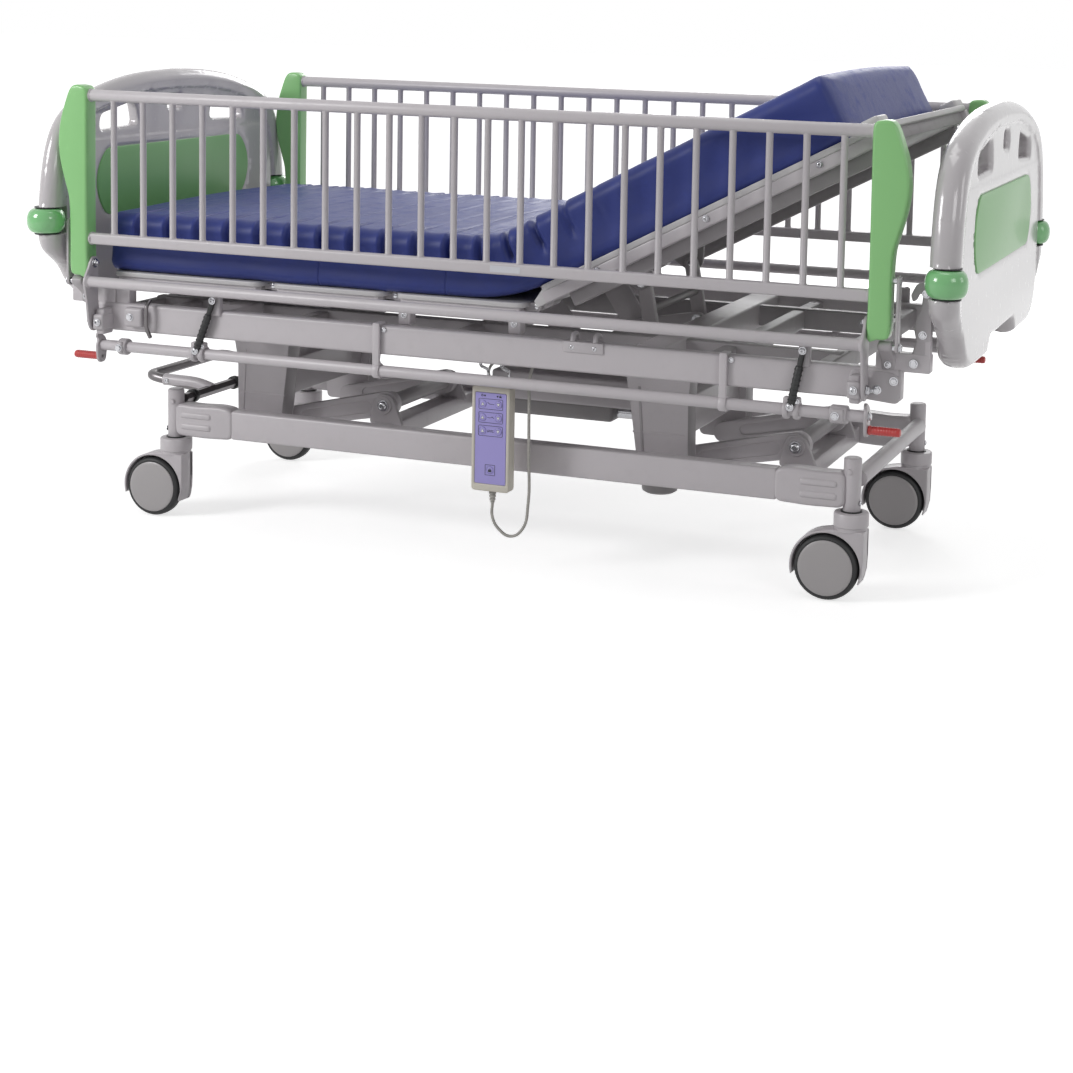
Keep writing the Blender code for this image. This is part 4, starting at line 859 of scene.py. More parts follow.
def make_drive():
    made = Assembly("drive_unit", "upper_frame", "drive_beam")
    for _, side in SIDES:
        made.add(PAINTED_SHADE_COAT, side_block(side, (-0.800, 0.700), (0.226, 0.252), (0.418, 0.462),
                                        0.004, 3))
    for x in (-0.790, -0.700, -0.400, -0.050, 0.480, 0.690):
        made.add(PAINTED_SHADE_COAT, block((x - 0.014, -RAIL_IN - 0.001, 0.420),
                                   (x + 0.014, RAIL_IN + 0.001, 0.458), 0.004, 3))
    made.add(COAT, block((-0.110, -0.050, 0.268), (0.2997, 0.050, 0.328), 0.006, 3))
    made.add(MOTOR, block((-0.108, -0.040, 0.235), (0.160, 0.040, 0.272), 0.008, 3),
             block((0.205, -0.044, 0.235), (0.2975, 0.044, 0.270), 0.010, 3),
             turned([(0.0, 0.092), (0.030, 0.092), (0.0365, 0.096), (0.038, 0.102),
                     (0.038, 0.236), (0.0, 0.240)], (0.255, 0.0, 0.0), (0, 0, 1), 36))
    for k in range(6):
        z = 0.112 + 0.018 * k
        made.add(BLACK, turned([(0.0378, z), (0.0386, z + 0.001), (0.0386, z + 0.003),
                                (0.0378, z + 0.004)], (0.255, 0.0, 0.0), (0, 0, 1), 36))
    made.add(CHROME, bar((0.080, 0.0, 0.252), (0.205, 0.0, 0.252), 0.012))
    made.add(BLACK, bar((-0.1100, 0.015, 0.288), (-0.1040, 0.015, 0.288), 0.007))
    for x in (-0.090, 0.0, 0.090, 0.185):
        for _, side in SIDES:
            side_screw(made, side, x, 0.050, 0.300, 0.005)
    made.build()


# main rails
def guard_x(end, distance):
    """X at a distance from the middle of the guards, at the foot (-1) or head (1)."""
    return GUARD_X + end * distance


def guard_span(end, a, b):
    return sorted((guard_x(end, a), guard_x(end, b)))


def end_span(end, a, b):
    return sorted((end * a, end * b))


def board_hook(made, board_x, side):
    """Hook and cast foot that hold the head board to the carrier."""
    hook = [(board_x - 0.001, 0.560), (board_x - 0.001, 0.618), (board_x - 0.012, 0.630),
            (board_x - 0.030, 0.622), (board_x - 0.040, 0.602), (board_x - 0.036, 0.590),
            (board_x - 0.029, 0.594), (board_x - 0.024, 0.606), (board_x - 0.018, 0.604),
            (board_x - 0.020, 0.580), (board_x - 0.030, 0.556), (board_x - 0.028, 0.520),
            (board_x - 0.001, 0.520)]
    foot = softened([(board_x - 0.036, 0.494), (board_x - 0.0015, 0.494),
                     (board_x - 0.0015, 0.566), (board_x - 0.016, 0.566),
                     (board_x - 0.034, 0.545), (board_x - 0.028, 0.520)], 0.008)
    made.add(CAST, plate(softened(hook, 0.004, 3), 0.009, "Y", side * 0.3935, 0.0016),
             plate(foot, 0.015, "Y", side * 0.3895, 0.004, (), 3))
    for x, z in ((board_x - 0.012, 0.606), (board_x - 0.016, 0.532)):
        side_bolt(made, side, x, 0.3975, z, 0.0058)
    side_bolt(made, side, board_x - 0.030, RAIL_OUT, 0.480, 0.0062)


def rail_end(made, end, side):
    """Bracket group at one end of a main rail: board carrier, pivot blocks and castings."""
    board_x, _, recess = BOARDS[end]
    made.add(COAT, side_block(side, end_span(end, 0.800, board_x - 0.0005),
                              (0.373, RAIL_OUT - 0.003), (RAIL_TOP - 0.004, 0.497), 0.003, 3),
             side_block(side, end_span(end, board_x - 0.012, board_x - 0.0009),
                        (0.381, RAIL_OUT - 0.0035), (RAIL_TOP, 0.606), 0.002),
             side_block(side, end_span(end, board_x - 0.002, board_x + recess - 0.001),
                        (0.382, RAIL_OUT - 0.004), (0.576, 0.604), 0.001))
    if end > 0:
        board_hook(made, board_x, side)
    made.add(CAST, side_block(side, end_span(end, RAIL_END - 0.002, RAIL_END + 0.003),
                               (RAIL_IN + 0.001, RAIL_OUT - 0.001),
                               (RAIL_LOW + 0.001, RAIL_TOP - 0.001), 0.002))
    x = guard_span(end, 0.780, 0.806)
    made.add(CAST, side_block(side, x, (RAIL_OUT - 0.004, 0.438), (0.414, 0.446), 0.005, 3),
             side_block(side, (x[0] + 0.003, x[1] - 0.003), (RAIL_OUT - 0.004, 0.430),
                        (0.404, 0.456), 0.004, 3))
    side_screw(made, side, sum(x) / 2, 0.438, 0.430, 0.0062)
    hex_bolt(made, (guard_x(end, 0.8145), side * LINK_Y, SWING_Z), (end, 0, 0), 0.0075, 0.006)
    link_z = SWING_Z + LINK_RISE
    arch = softened([(side * 0.375, RAIL_TOP - 0.006), (side * 0.398, RAIL_TOP - 0.006),
                     (side * 0.402, 0.482), (side * 0.434, 0.505), (side * 0.4365, 0.514),
                     (side * 0.428, 0.522), (side * 0.414, 0.5205), (side * 0.385, 0.500),
                     (side * 0.375, 0.485)], 0.006)
    made.add(CAST, plate(arch, 0.026, "X", guard_x(end, ARCH_X), 0.004, (), 3))
    made.add(CHROME, shaft(end, 0.850, 0.8755, side * LINK_Y, link_z, 0.006))
    hex_bolt(made, (guard_x(end, 0.8708), side * LINK_Y, link_z), (end, 0, 0), 0.0065)
    side_screw(made, side, guard_x(end, ARCH_X), 0.402, 0.475, 0.005)
    if end < 0:
        made.add(CAST, side_block(side, guard_span(end, 0.700, 0.744), (RAIL_OUT - 0.002, 0.420),
                                  (0.422, 0.462), 0.007, 4))
        side_bolt(made, side, guard_x(end, 0.728), 0.420, 0.443, 0.0062)
        x = guard_x(end, 0.690)
        made.add(DARK_STEEL, pipe([(x, side * 0.404, 0.478), (x, side * 0.418, 0.468),
                                   (x, side * 0.419, 0.424), (x, side * 0.404, 0.402)], 0.0042,
                                  5, 0.012))
    else:
        made.add(CAST, plate(softened([(guard_x(end, 0.776), 0.412), (guard_x(end, 0.870), 0.404),
                                       (guard_x(end, 0.872), 0.452), (guard_x(end, 0.852), 0.462),
                                       (guard_x(end, 0.776), 0.462)], 0.014), 0.006, "Y",
                             side * (RAIL_OUT - 0.0005), 0.002, (), 3))
        for d, z in ((0.828, 0.428), (0.858, 0.446)):
            side_bolt(made, side, guard_x(end, d), RAIL_OUT + 0.0025, z, 0.0062)


def collar(made, finish, x, side, bore, radius, half, rim, edge):
    """A ring round the release shaft, its rims taken off by rim and edge."""
    profile = [(bore, -half), (radius - rim, -half), (radius, edge - half), (radius, half - edge),
               (radius - rim, half), (bore, half), (bore, -half)]
    made.add(finish, turned(profile, (x, side * LATCH_Y, LATCH_Z), (1, 0, 0), 28))


def make_main_rail(side_name, side):
    made = Assembly(f"side_rail_{side_name}", "upper_frame", f"main_rail_{side_name}")
    made.add(COAT, side_block(side, (-RAIL_END, RAIL_END), (RAIL_IN, RAIL_OUT),
                              (RAIL_LOW, RAIL_TOP), 0.006, 4))
    for end in (-1, 1):
        rail_end(made, end, side)
    for x in (-0.194, 0.518):
        made.add(COAT, side_block(side, (x - 0.0075, x + 0.0075), (0.4030, 0.4105),
                                  (LATCH_Z + 0.0105, RAIL_TOP + 0.0050), 0.0022, 3),
                 side_block(side, (x - 0.0075, x + 0.0075), (0.382, 0.4100),
                            (RAIL_TOP - 0.001, RAIL_TOP + 0.0052), 0.0020, 3))
        collar(made, COAT, x, side, 0.0114, 0.0150, 0.0070, 0.0010, 0.0015)
        side_screw(made, side, x + 0.013, RAIL_OUT + 0.0002, RAIL_TOP - 0.008, 0.0040)
    for top_x, low_x in ((-0.558, -0.598), (0.670, 0.649)):
        made.add(CAST, side_block(side, (top_x - 0.011, top_x + 0.011), (0.392, 0.407),
                                  (RAIL_TOP - 0.010, 0.498), 0.004, 3))
        low = Vector((low_x, side * STAY_Y, LATCH_Z + 0.008))
        top = Vector((top_x, side * STAY_Y, 0.490))
        made.add(BLACK, bar(low.lerp(top, 0.02), low.lerp(top, 0.72), 0.0072, 0.002),
                 bar(low.lerp(top, 0.70), low.lerp(top, 0.985), 0.0052, 0.001))
        for k in range(7):
            at = low.lerp(top, 0.10 + 0.09 * k)
            made.add(BLACK, bar(at, at + (top - low).normalized() * 0.003, 0.0082, 0.0008))
        for at in (low, top):
            side_screw(made, side, at.x, 0.4165, at.z, 0.0058)
        for dx in (-0.010, 0.010):
            collar(made, CAST, low_x + dx, side, 0.0116, 0.0172, 0.005, 0.0012, 0.002)
        made.add(CAST, side_block(side, (low_x - 0.016, low_x + 0.016), (0.393, 0.409),
                                  (LATCH_Z + 0.010, LATCH_Z + 0.024), 0.003))
        side_bolt(made, side, low_x + 0.010, 0.409, LATCH_Z + 0.017, 0.0045)
    made.add(COAT, side_block(side, (-0.800, -0.766), (RAIL_IN, 0.396),
                               (RAIL_TOP - 0.003, DECK_LOW - 0.0005), 0.003, 3))
    for x in (0.216, 0.262):
        clamp = [(x, side * 0.374, RAIL_TOP), (x, side * 0.378, RAIL_TOP + 0.013),
                 (x, side * 0.394, RAIL_TOP + 0.013), (x, side * 0.398, RAIL_TOP)]
        made.add(CAST, pipe(clamp, 0.0055, 5, 0.010))
        side_screw(made, side, x, 0.4015, RAIL_TOP - 0.010, 0.0052)
    made.add(CAST, side_block(side, (0.198, 0.280), (0.3975, 0.4045),
                              (RAIL_TOP - 0.020, RAIL_TOP + 0.001), 0.002))
    if side < 0:
        x0, x1 = HAND_X - 0.022, HAND_X + 0.022
        wire = [(x0, -0.382, RAIL_LOW + 0.002), (x0, -0.380, 0.401), (x0, -0.345, 0.388),
                (x0, -0.343, 0.347), (x1, -0.343, 0.347), (x1, -0.345, 0.388),
                (x1, -0.380, 0.401), (x1, -0.382, RAIL_LOW + 0.002)]
        made.add(CHROME, pipe(wire, 0.003, 5, 0.008))
    made.build()


# deck
def panel(made, low_x, high_x):
    """A laminate panel on a shallow steel tray, with an edge bar along each side."""
    top = softened(rectangle(low_x, high_x, -DECK_HALF_W, DECK_HALF_W), 0.022)
    made.add(LAMINATE, plate(top, 0.010, "Z", DECK_TOP - 0.005, 0.0022, (), 3))
    tray = rectangle(low_x + 0.012, high_x - 0.012, -DECK_HALF_W + 0.012, DECK_HALF_W - 0.012)
    made.add(PAINTED_SHADE_COAT, plate(softened(tray, 0.016), 0.009, "Z", DECK_LOW + 0.0055, 0.001))
    for _, side in SIDES:
        made.add(COAT, side_block(side, (low_x + 0.010, high_x - 0.010),
                                  (DECK_HALF_W - 0.030, DECK_HALF_W - 0.006),
                                  (DECK_LOW, DECK_TOP - 0.008), 0.003, 3))


def under_ribs(made, low_x, high_x):
    """Pressed steel ribs under a moving panel."""
    for y in (-0.290, -0.150, 0.0, 0.150, 0.290):
        made.add(DARK_STEEL, block((low_x + 0.030, y - 0.014, DECK_LOW - 0.022),
                                   (high_x - 0.030, y + 0.014, DECK_LOW + 0.002), 0.004, 3))
    for x in (low_x + 0.030, high_x - 0.056):
        made.add(DARK_STEEL, block((x, -0.300, DECK_LOW - 0.016),
                                   (x + 0.026, 0.300, DECK_LOW + 0.002), 0.004, 3))


def hinge_ears(made, x, sign):
    """Ears and pins on the fixed side of a deck hinge; sign points to the moving side."""
    for _, side in SIDES:
        inner = x - sign * 0.026
        made.add(CAST, plate(strap((inner, PIVOT_Z - 0.001), (x, PIVOT_Z - 0.001), 0.0085, 0.0085),
                             0.010, "Y", side * EAR_Y, 0.0015))
        made.add(CHROME, pin(side, (x, PIVOT_Z), 0.347, 0.302, 0.005))


def hinge_barrels(made, x, sign):
    for _, side in SIDES:
        inner = x + sign * 0.026
        made.add(CAST, plate(strap((inner, PIVOT_Z - 0.001), (x, PIVOT_Z), 0.0085, 0.0095),
                             0.034, "Y", side * BARREL_Y, 0.0015,
                             (ring_outline((x, PIVOT_Z), 0.0056),)))


def make_deck():
    seat = Assembly("seat_deck", "upper_frame", "deck_seat")
    panel(seat, THIGH_X + 0.014, HIP_X - 0.014)
    for _, side in SIDES:
        for x in (-0.150, 0.085):
            seat.add(COAT, side_block(side, (x - 0.013, x + 0.013), (0.350, 0.376),
                                      (RAIL_TOP + 0.0003, DECK_LOW + 0.004), 0.003, 3))
            side_screw(seat, side, x, 0.376, RAIL_TOP + 0.020, 0.005)
        hanger = softened([(0.030, DECK_LOW + 0.006), (0.098, DECK_LOW + 0.006),
                           (0.162, CRANK[1] + 0.014), (0.162, CRANK[1] - 0.022),
                           (0.118, CRANK[1] - 0.022)], 0.012)
        seat.add(CAST, plate(hanger, 0.008, "Y", side * 0.172, 0.0015,
                             (ring_outline(CRANK, 0.0106),)))
    hinge_ears(seat, HIP_X, 1)
    hinge_ears(seat, THIGH_X, -1)
    seat.build()
    thigh = Assembly("thigh_deck", "thigh_section", "deck_thigh")
    panel(thigh, KNEE_X + 0.014, THIGH_X - 0.014)
    under_ribs(thigh, KNEE_X + 0.014, THIGH_X - 0.014)
    hinge_barrels(thigh, THIGH_X, -1)
    hinge_ears(thigh, KNEE_X, -1)
    thigh.build()
    leg = Assembly("leg_deck", "leg_section", "deck_leg")
    panel(leg, DECK_FOOT_X, KNEE_X - 0.014)
    under_ribs(leg, DECK_FOOT_X, KNEE_X - 0.014)
    hinge_barrels(leg, KNEE_X, -1)
    leg.build()


def make_back():
    """Back section, drawn flat and then tilted to the stored angle."""
    made = Assembly("back_deck", "back_section", "deck_back")
    low_x, high_x = HIP_X + 0.014, HIP_X + BACK_LEN
    skin = softened(rectangle(low_x + 0.020, high_x, -DECK_HALF_W, DECK_HALF_W), 0.020)
    made.add(LAMINATE, plate(skin, 0.012, "Z", BACK_TOP - 0.006, 0.0022, (), 3))
    made.add(LAMINATE, plate([(low_x, PIVOT_Z - 0.003), (low_x + 0.060, PIVOT_Z - 0.003),
                              (low_x + 0.060, BACK_TOP - 0.002), (low_x + 0.036, BACK_TOP - 0.001),
                              (low_x, DECK_TOP + 0.001)], 2 * DECK_HALF_W - 0.004, "Y", 0.0,
                             0.002))
    made.add(PAINTED_SHADE_COAT, block((low_x + 0.030, -DECK_HALF_W + 0.030, PIVOT_Z - 0.003),
                               (high_x - 0.012, DECK_HALF_W - 0.030, BACK_TOP - 0.010), 0.003))
    for _, side in SIDES:
        made.add(COAT, side_block(side, (low_x + 0.020, high_x), (0.352, DECK_HALF_W - 0.001),
                                  (PIVOT_Z - 0.004, BACK_TOP - 0.011), 0.004, 3))
        made.add(PAINTED_SHADE_COAT, side_block(side, (HIP_X + 0.075, HIP_X + 0.745), (0.322, 0.350),
                                        (0.488, PIVOT_Z), 0.003, 3))
        made.add(LAMINATE, side_block(side, (high_x - 0.040, high_x - 0.002),
                                      (0.300, DECK_HALF_W - 0.004),
                                      (BACK_TOP - 0.004, BACK_TOP + 0.016), 0.006, 3))
        for x in (HIP_X + 0.16, HIP_X + 0.40, HIP_X + 0.64):
            side_screw(made, side, x, DECK_HALF_W - 0.001, BACK_TOP - 0.020, 0.0050)
        eye = Vector((CRANK_PIN[0] - CRANK[0], CRANK_PIN[1] - CRANK[1]))
        flat = Matrix.Rotation(-BACK_ANGLE, 2) @ eye
        eye = (HIP_X + flat.x, PIVOT_Z + flat.y)
        lobe = softened([(eye[0] - 0.045, DECK_LOW + 0.012), (eye[0] + 0.045, DECK_LOW + 0.012),
                         (eye[0] + 0.016, eye[1] - 0.015), (eye[0] - 0.016, eye[1] - 0.015)],
                        0.014)
        made.add(PAINTED_SHADE_COAT, plate(lobe, 0.008, "Y", side * LOBE_Y, 0.0015))
        made.add(CHROME, pin(side, eye, 0.164, 0.137, 0.006))
        washer(made, (eye[0], side * 0.163, eye[1]), (0, side, 0), 0.011)
    hinge_barrels(made, HIP_X, 1)
    made.turn((HIP_X, PIVOT_Z), BACK_ANGLE)
    made.build()


def make_back_linkage():
    crank = Assembly("crank_arms", "back_crank", "back_crank")
    crank.add(PAINTED_SHADE_COAT, pin(1, CRANK, -0.1665, 0.1665, 0.015),
              pin(1, CRANK, -0.180, 0.180, 0.010))
    link = Assembly("lift_links", "back_link", "back_link")
    eye = (HIP_X + CRANK_PIN[0] - CRANK[0], PIVOT_Z + CRANK_PIN[1] - CRANK[1])
    middle = ((CRANK_PIN[0] + eye[0]) / 2, (CRANK_PIN[1] + eye[1]) / 2)
    link.add(PAINTED_SHADE_COAT, pin(1, middle, -0.140, 0.140, 0.008))
    for _, side in SIDES:
        crank.add(CAST, plate(strap(CRANK, CRANK_PIN, 0.024, 0.016), 0.014, "Y", side * CRANK_Y,
                              0.0025, (), 3))
        crank.add(CHROME, pin(side, CRANK_PIN, 0.119, 0.154, 0.006))
        washer(crank, (CRANK_PIN[0], side * 0.1205, CRANK_PIN[1]), (0, -side, 0), 0.011)
        link.add(CAST, plate(strap(CRANK_PIN, eye, 0.015, 0.015), 0.014, "Y", side * BACK_LINK_Y,
                             0.0025, (ring_outline(CRANK_PIN, PIN_HOLE_R),
                                      ring_outline(eye, PIN_HOLE_R)), 3))
    crank.build()
    link.build()


# side guards
def make_guard(side_name, side):
    y = side * LINK_Y
    made = Assembly(f"guard_grille_{side_name}", f"guard_{side_name}", f"guard_rail_{side_name}")
    reach = POST_IN - 0.0005
    made.add(COAT, bar((GUARD_X - reach, y, GUARD_TOP_Z), (GUARD_X + reach, y, GUARD_TOP_Z),
                       0.012, 0.001, 32),
             block((GUARD_X - reach, y - 0.011, GUARD_LOW_Z - 0.011),
                   (GUARD_X + reach, y + 0.011, GUARD_LOW_Z + 0.011), 0.004, 4))
    low, top = GUARD_LOW_Z + 0.0105, GUARD_TOP_Z - 0.010
    for k in range(BARS):
        x = GUARD_X + (k - (BARS - 1) / 2) * BAR_PITCH
        made.add(COAT, turned([(BAR_R + 0.0022, low), (BAR_R + 0.0012, low + 0.0012),
                               (BAR_R, low + 0.0034), (BAR_R, top - 0.0034),
                               (BAR_R + 0.0010, top - 0.0008), (BAR_R + 0.0016, top + 0.002)],
                              (x, y, 0.0), (0, 0, 1), 20))
    if side < 0:
        made.add(LABEL, block((0.060, y - 0.0114, GUARD_LOW_Z - 0.006),
                              (0.122, y - 0.0108, GUARD_LOW_Z + 0.006), 0.0002, 1))
    made.build()


POST_OUTLINE = [(0.815, 0.525), (0.815, 0.600), (0.815, 0.700), (0.8146, 0.760),
                (0.8142, 0.830), (0.8142, 0.892), (0.8185, 0.9085), (0.832, 0.9128),
                (0.846, 0.9120), (0.8565, 0.902), (0.866, 0.878), (0.8765, 0.845),
                (0.8820, 0.808), (0.8815, 0.778), (0.8758, 0.745), (0.8665, 0.712),
                (0.8585, 0.682), (0.8560, 0.640), (0.8558, 0.580), (0.8555, 0.538),
                (0.849, 0.526), (0.832, 0.5242)]


def make_post(end_name, end, side_name, side):
    made = Assembly(f"green_post_{end_name}_{side_name}", f"guard_{side_name}",
                    f"guard_post_{end_name}_{side_name}")
    points = [(guard_x(end, d), z) for d, z in flowing(POST_OUTLINE, 3)]
    y = side * LINK_Y
    made.add(GREEN, plate(points, 0.036, "Y", y, 0.0055, (), 5))
    for z in (GUARD_TOP_Z, GUARD_LOW_Z):
        made.add(COAT, shaft(end, POST_IN - 0.004, POST_IN + 0.001, y, z, 0.0135))
    made.add(BLACK, shaft(end, POST_IN - 0.0005, 0.818, y, SWING_Z + SWING_LEN, 0.0105))
    made.build(30.0)


def make_swing(side_name, side):
    made = Assembly(f"swing_bar_{side_name}", f"swing_{side_name}", f"swing_frame_{side_name}")
    made.add(COAT, bar((GUARD_X - PLATE_X - 0.003, side * TUBE_Y, TUBE_Z),
                       (GUARD_X + PLATE_X + 0.003, side * TUBE_Y, TUBE_Z), 0.011, 0.002, 32))
    y, low, top = side * LINK_Y, SWING_Z, SWING_Z + SWING_LEN
    outline = [(0.000, low - 0.020), (0.011, low - 0.016), (0.018, low), (0.0125, low + 0.040),
               (0.012, low + 0.070), (0.012, top - 0.010), (0.0115, top + 0.004),
               (0.006, top + 0.0125), (-0.006, top + 0.0128), (-0.0125, top + 0.0045),
               (-0.0190, top - 0.008), (-0.029, TUBE_Z + 0.013), (-0.0338, TUBE_Z + 0.002),
               (-0.0325, TUBE_Z - 0.010), (-0.0285, TUBE_Z - 0.026), (-0.0235, low + 0.030),
               (-0.0195, low), (-0.011, low - 0.016)]
    points = [(y - side * u, z) for u, z in flowing(outline, 3)]
    for end in (-1, 1):
        x = guard_x(end, PLATE_X + PLATE_T / 2)
        made.add(PLATE_STEEL, plate(points, PLATE_T, "X", x, 0.0016,
                                    (ring_outline((y, low), PIN_HOLE_R),), 3))
        made.add(CHROME, shaft(end, PLATE_X + 0.002, PLATE_X + 0.0225, y, top, 0.006))
        hex_bolt(made, (guard_x(end, PLATE_X), y, top), (-end, 0, 0), 0.0075, 0.004)
        made.add(COAT, turned([(0.0110, -0.004), (0.0152, -0.0035), (0.0152, -0.001),
                               (0.0110, 0.004)], (guard_x(end, PLATE_X), side * TUBE_Y, TUBE_Z),
                              (-end, 0, 0), 28))
    made.build()


def make_link_arms(side_name, side):
    y, low = side * LINK_Y, SWING_Z + LINK_RISE
    top = low + SWING_LEN
    made = Assembly(f"link_arms_{side_name}", f"link_arms_{side_name}",
                    f"link_arm_foot_{side_name}", f"link_arm_head_{side_name}")
    for end in (-1, 1):
        made.add(PLATE_STEEL, plate(strap((y, low), (y, top), 0.0095, 0.0095), PLATE_T, "X",
                                    guard_x(end, ARM_X + PLATE_T / 2), 0.0016,
                                    (ring_outline((y, low), PIN_HOLE_R),), 3))
        made.add(CHROME, shaft(end, ARM_X + PLATE_T, ARCH_X, y, top, 0.006))
        washer(made, (guard_x(end, ARM_X + PLATE_T - 0.0004), y, top), (end, 0, 0), 0.0085)
    made.build()


def make_latch(side_name, side):
    """Release shaft: castings near its ends, bent levers and red grips."""
    made = Assembly(f"release_shaft_{side_name}", f"latch_{side_name}",
                    f"latch_shaft_{side_name}")
    y = side * LATCH_Y
    made.add(COAT, bar((guard_x(-1, PLATE_X + 0.003), y, LATCH_Z),
                       (guard_x(1, PLATE_X + 0.003), y, LATCH_Z), LATCH_R, 0.001, 28))
    lever = [(y + side * u, LATCH_Z + v) for u, v in
             flowing([(-0.010, -0.0335), (0.0, -0.0365), (0.010, -0.0335), (0.0148, -0.020),
                      (0.0160, 0.0), (0.0125, 0.012), (0.0165, 0.019), (0.0130, 0.0265),
                      (0.002, 0.0235), (-0.011, 0.0145), (-0.0160, 0.0), (-0.0145, -0.020)], 4)]
    for end in (-1, 1):
        wide = 0.776 if end > 0 else 0.764
        made.add(CAST, shaft(end, 0.744, wide, y, LATCH_Z, 0.017, 0.003),
                 side_block(side, guard_span(end, 0.748, wide - 0.004),
                            (LATCH_Y - 0.006, LATCH_Y + 0.019),
                            (LATCH_Z - 0.012, LATCH_Z + 0.012), 0.004, 3))
        hex_bolt(made, (guard_x(end, 0.756), y + side * 0.019, LATCH_Z), (0, side, 0), 0.006)
        made.add(PLATE_STEEL, plate(lever, PLATE_T, "X", guard_x(end, PLATE_X + PLATE_T / 2),
                                    0.0018, (), 3))
        hex_bolt(made, (guard_x(end, PLATE_X + PLATE_T), y, LATCH_Z), (end, 0, 0), 0.0070)
        grip_z, long = LATCH_Z - 0.024, 0.0595
        made.add(CHROME, shaft(end, PLATE_X, PLATE_X + 0.012, y, grip_z, 0.0052))
        profile = [(0.0, 0.0), (0.0078, 0.0), (0.0088, 0.0012), (0.0088, 0.0042),
                   (0.0078, 0.0056)]
        for k in range(9):
            height = 0.010 + (long - 0.018) * k / 8
            profile += [(0.0078, height - 0.0016), (0.0084, height), (0.0078, height + 0.0016)]
        profile += [(0.0080, long - 0.004), (0.0068, long - 0.0012), (0.0045, long), (0.0, long)]
        made.add(GRIP, turned(profile, (guard_x(end, PLATE_X + 0.0065), y, grip_z), (end, 0, 0),
                              24))
    made.build()


# end boards and rollers
BOARD_HALF = [(0.0, 0.932), (0.110, 0.928), (0.205, 0.917), (0.290, 0.898), (0.355, 0.876),
              (0.402, 0.845), (0.432, 0.802), (0.450, 0.745), (0.4605, 0.680), (0.4628, 0.640),
              (0.4630, 0.604), (0.460, 0.588), (0.447, 0.567), (0.400, 0.532), (0.370, 0.496),
              (0.340, 0.472), (0.295, 0.4595), (0.220, 0.4585), (0.146, 0.4585), (0.1385, 0.464),
              (0.1200, 0.485), (0.112, 0.488), (0.060, 0.488)]
PANEL_HALF = [(0.0, 0.893), (0.120, 0.889), (0.215, 0.877), (0.300, 0.855), (0.352, 0.825),
              (0.388, 0.780), (0.405, 0.720), (0.413, 0.650), (0.413, 0.580), (0.385, 0.520),
              (0.330, 0.470), (0.200, 0.440), (0.0, 0.430)]
INLAY_HALF = [(0.262, 0.772), (0.290, 0.735), (0.298, 0.700), (0.290, 0.664), (0.265, 0.628)]


def mirrored(half):
    """Closes an outline given for Y from the middle outwards and back."""
    return half + [(-y, z) for y, z in reversed(half) if y > 0.0001]


def spaced(loop, pitch):
    """The closed outline cut into even steps."""
    points = []
    for a, b in zip(loop, loop[1:] + loop[:1]):
        a, b = Vector(a), Vector(b)
        count = max(1, round((b - a).length / pitch))
        points += [tuple(a.lerp(b, k / count)) for k in range(count)]
    return points


def to_edge(point, loop):
    """Distance from a point to a closed outline."""
    best = 1.0
    for a, b in zip(loop, loop[1:] + loop[:1]):
        dx, dy = b[0] - a[0], b[1] - a[1]
        span = dx * dx + dy * dy
        t = 0.0
        if span > 1e-12:
            t = min(1.0, max(0.0, ((point[0] - a[0]) * dx + (point[1] - a[1]) * dy) / span))
        best = min(best, hypot(point[0] - a[0] - t * dx, point[1] - a[1] - t * dy))
    return best


def inside(point, loop):
    crossed = False
    for a, b in zip(loop, loop[1:] + loop[:1]):
        if (a[1] > point[1]) != (b[1] > point[1]):
            if point[0] < (b[0] - a[0]) * (point[1] - a[1]) / (b[1] - a[1]) + a[0]:
                crossed = not crossed
    return crossed


def eased(value, low, high):
    t = min(1.0, max(0.0, (value - low) / (high - low)))
    return t * t * (3 - 2 * t)


def ringed(loop, steps, sign):
    """Points beside an outline at the given distances, inwards (1) or outwards (-1)."""
    points = []
    count = len(loop)
    area = sum(a[0] * b[1] - b[0] * a[1] for a, b in zip(loop, loop[1:] + loop[:1]))
    for step in steps:
        for i in range(count):
            along = Vector(loop[(i + 1) % count]) - Vector(loop[i - 1])
            inward = Vector((-along.y, along.x)).normalized() * (1 if area > 0 else -1)
            points.append(Vector(loop[i]) + inward * (sign * step))
    return points


def hand_holes():
    """The two hand holes and the finger hole between them."""
    grip = [(0.139, 0.814), (0.281, 0.808), (0.276, 0.843), (0.152, 0.867)]
    return [softened([(-y, z) for y, z in grip[::-1]], 0.016, 6),
            softened([(-0.032, 0.843), (0.032, 0.843), (0.026, 0.875), (-0.026, 0.875)], 0.014,
                     6),
            softened(grip, 0.016, 6)]


RIM_ROUND, LOW_RIM_ROUND, HOLE_ROUND, INLAY_GROOVE = 0.027, 0.014, 0.011, 0.006


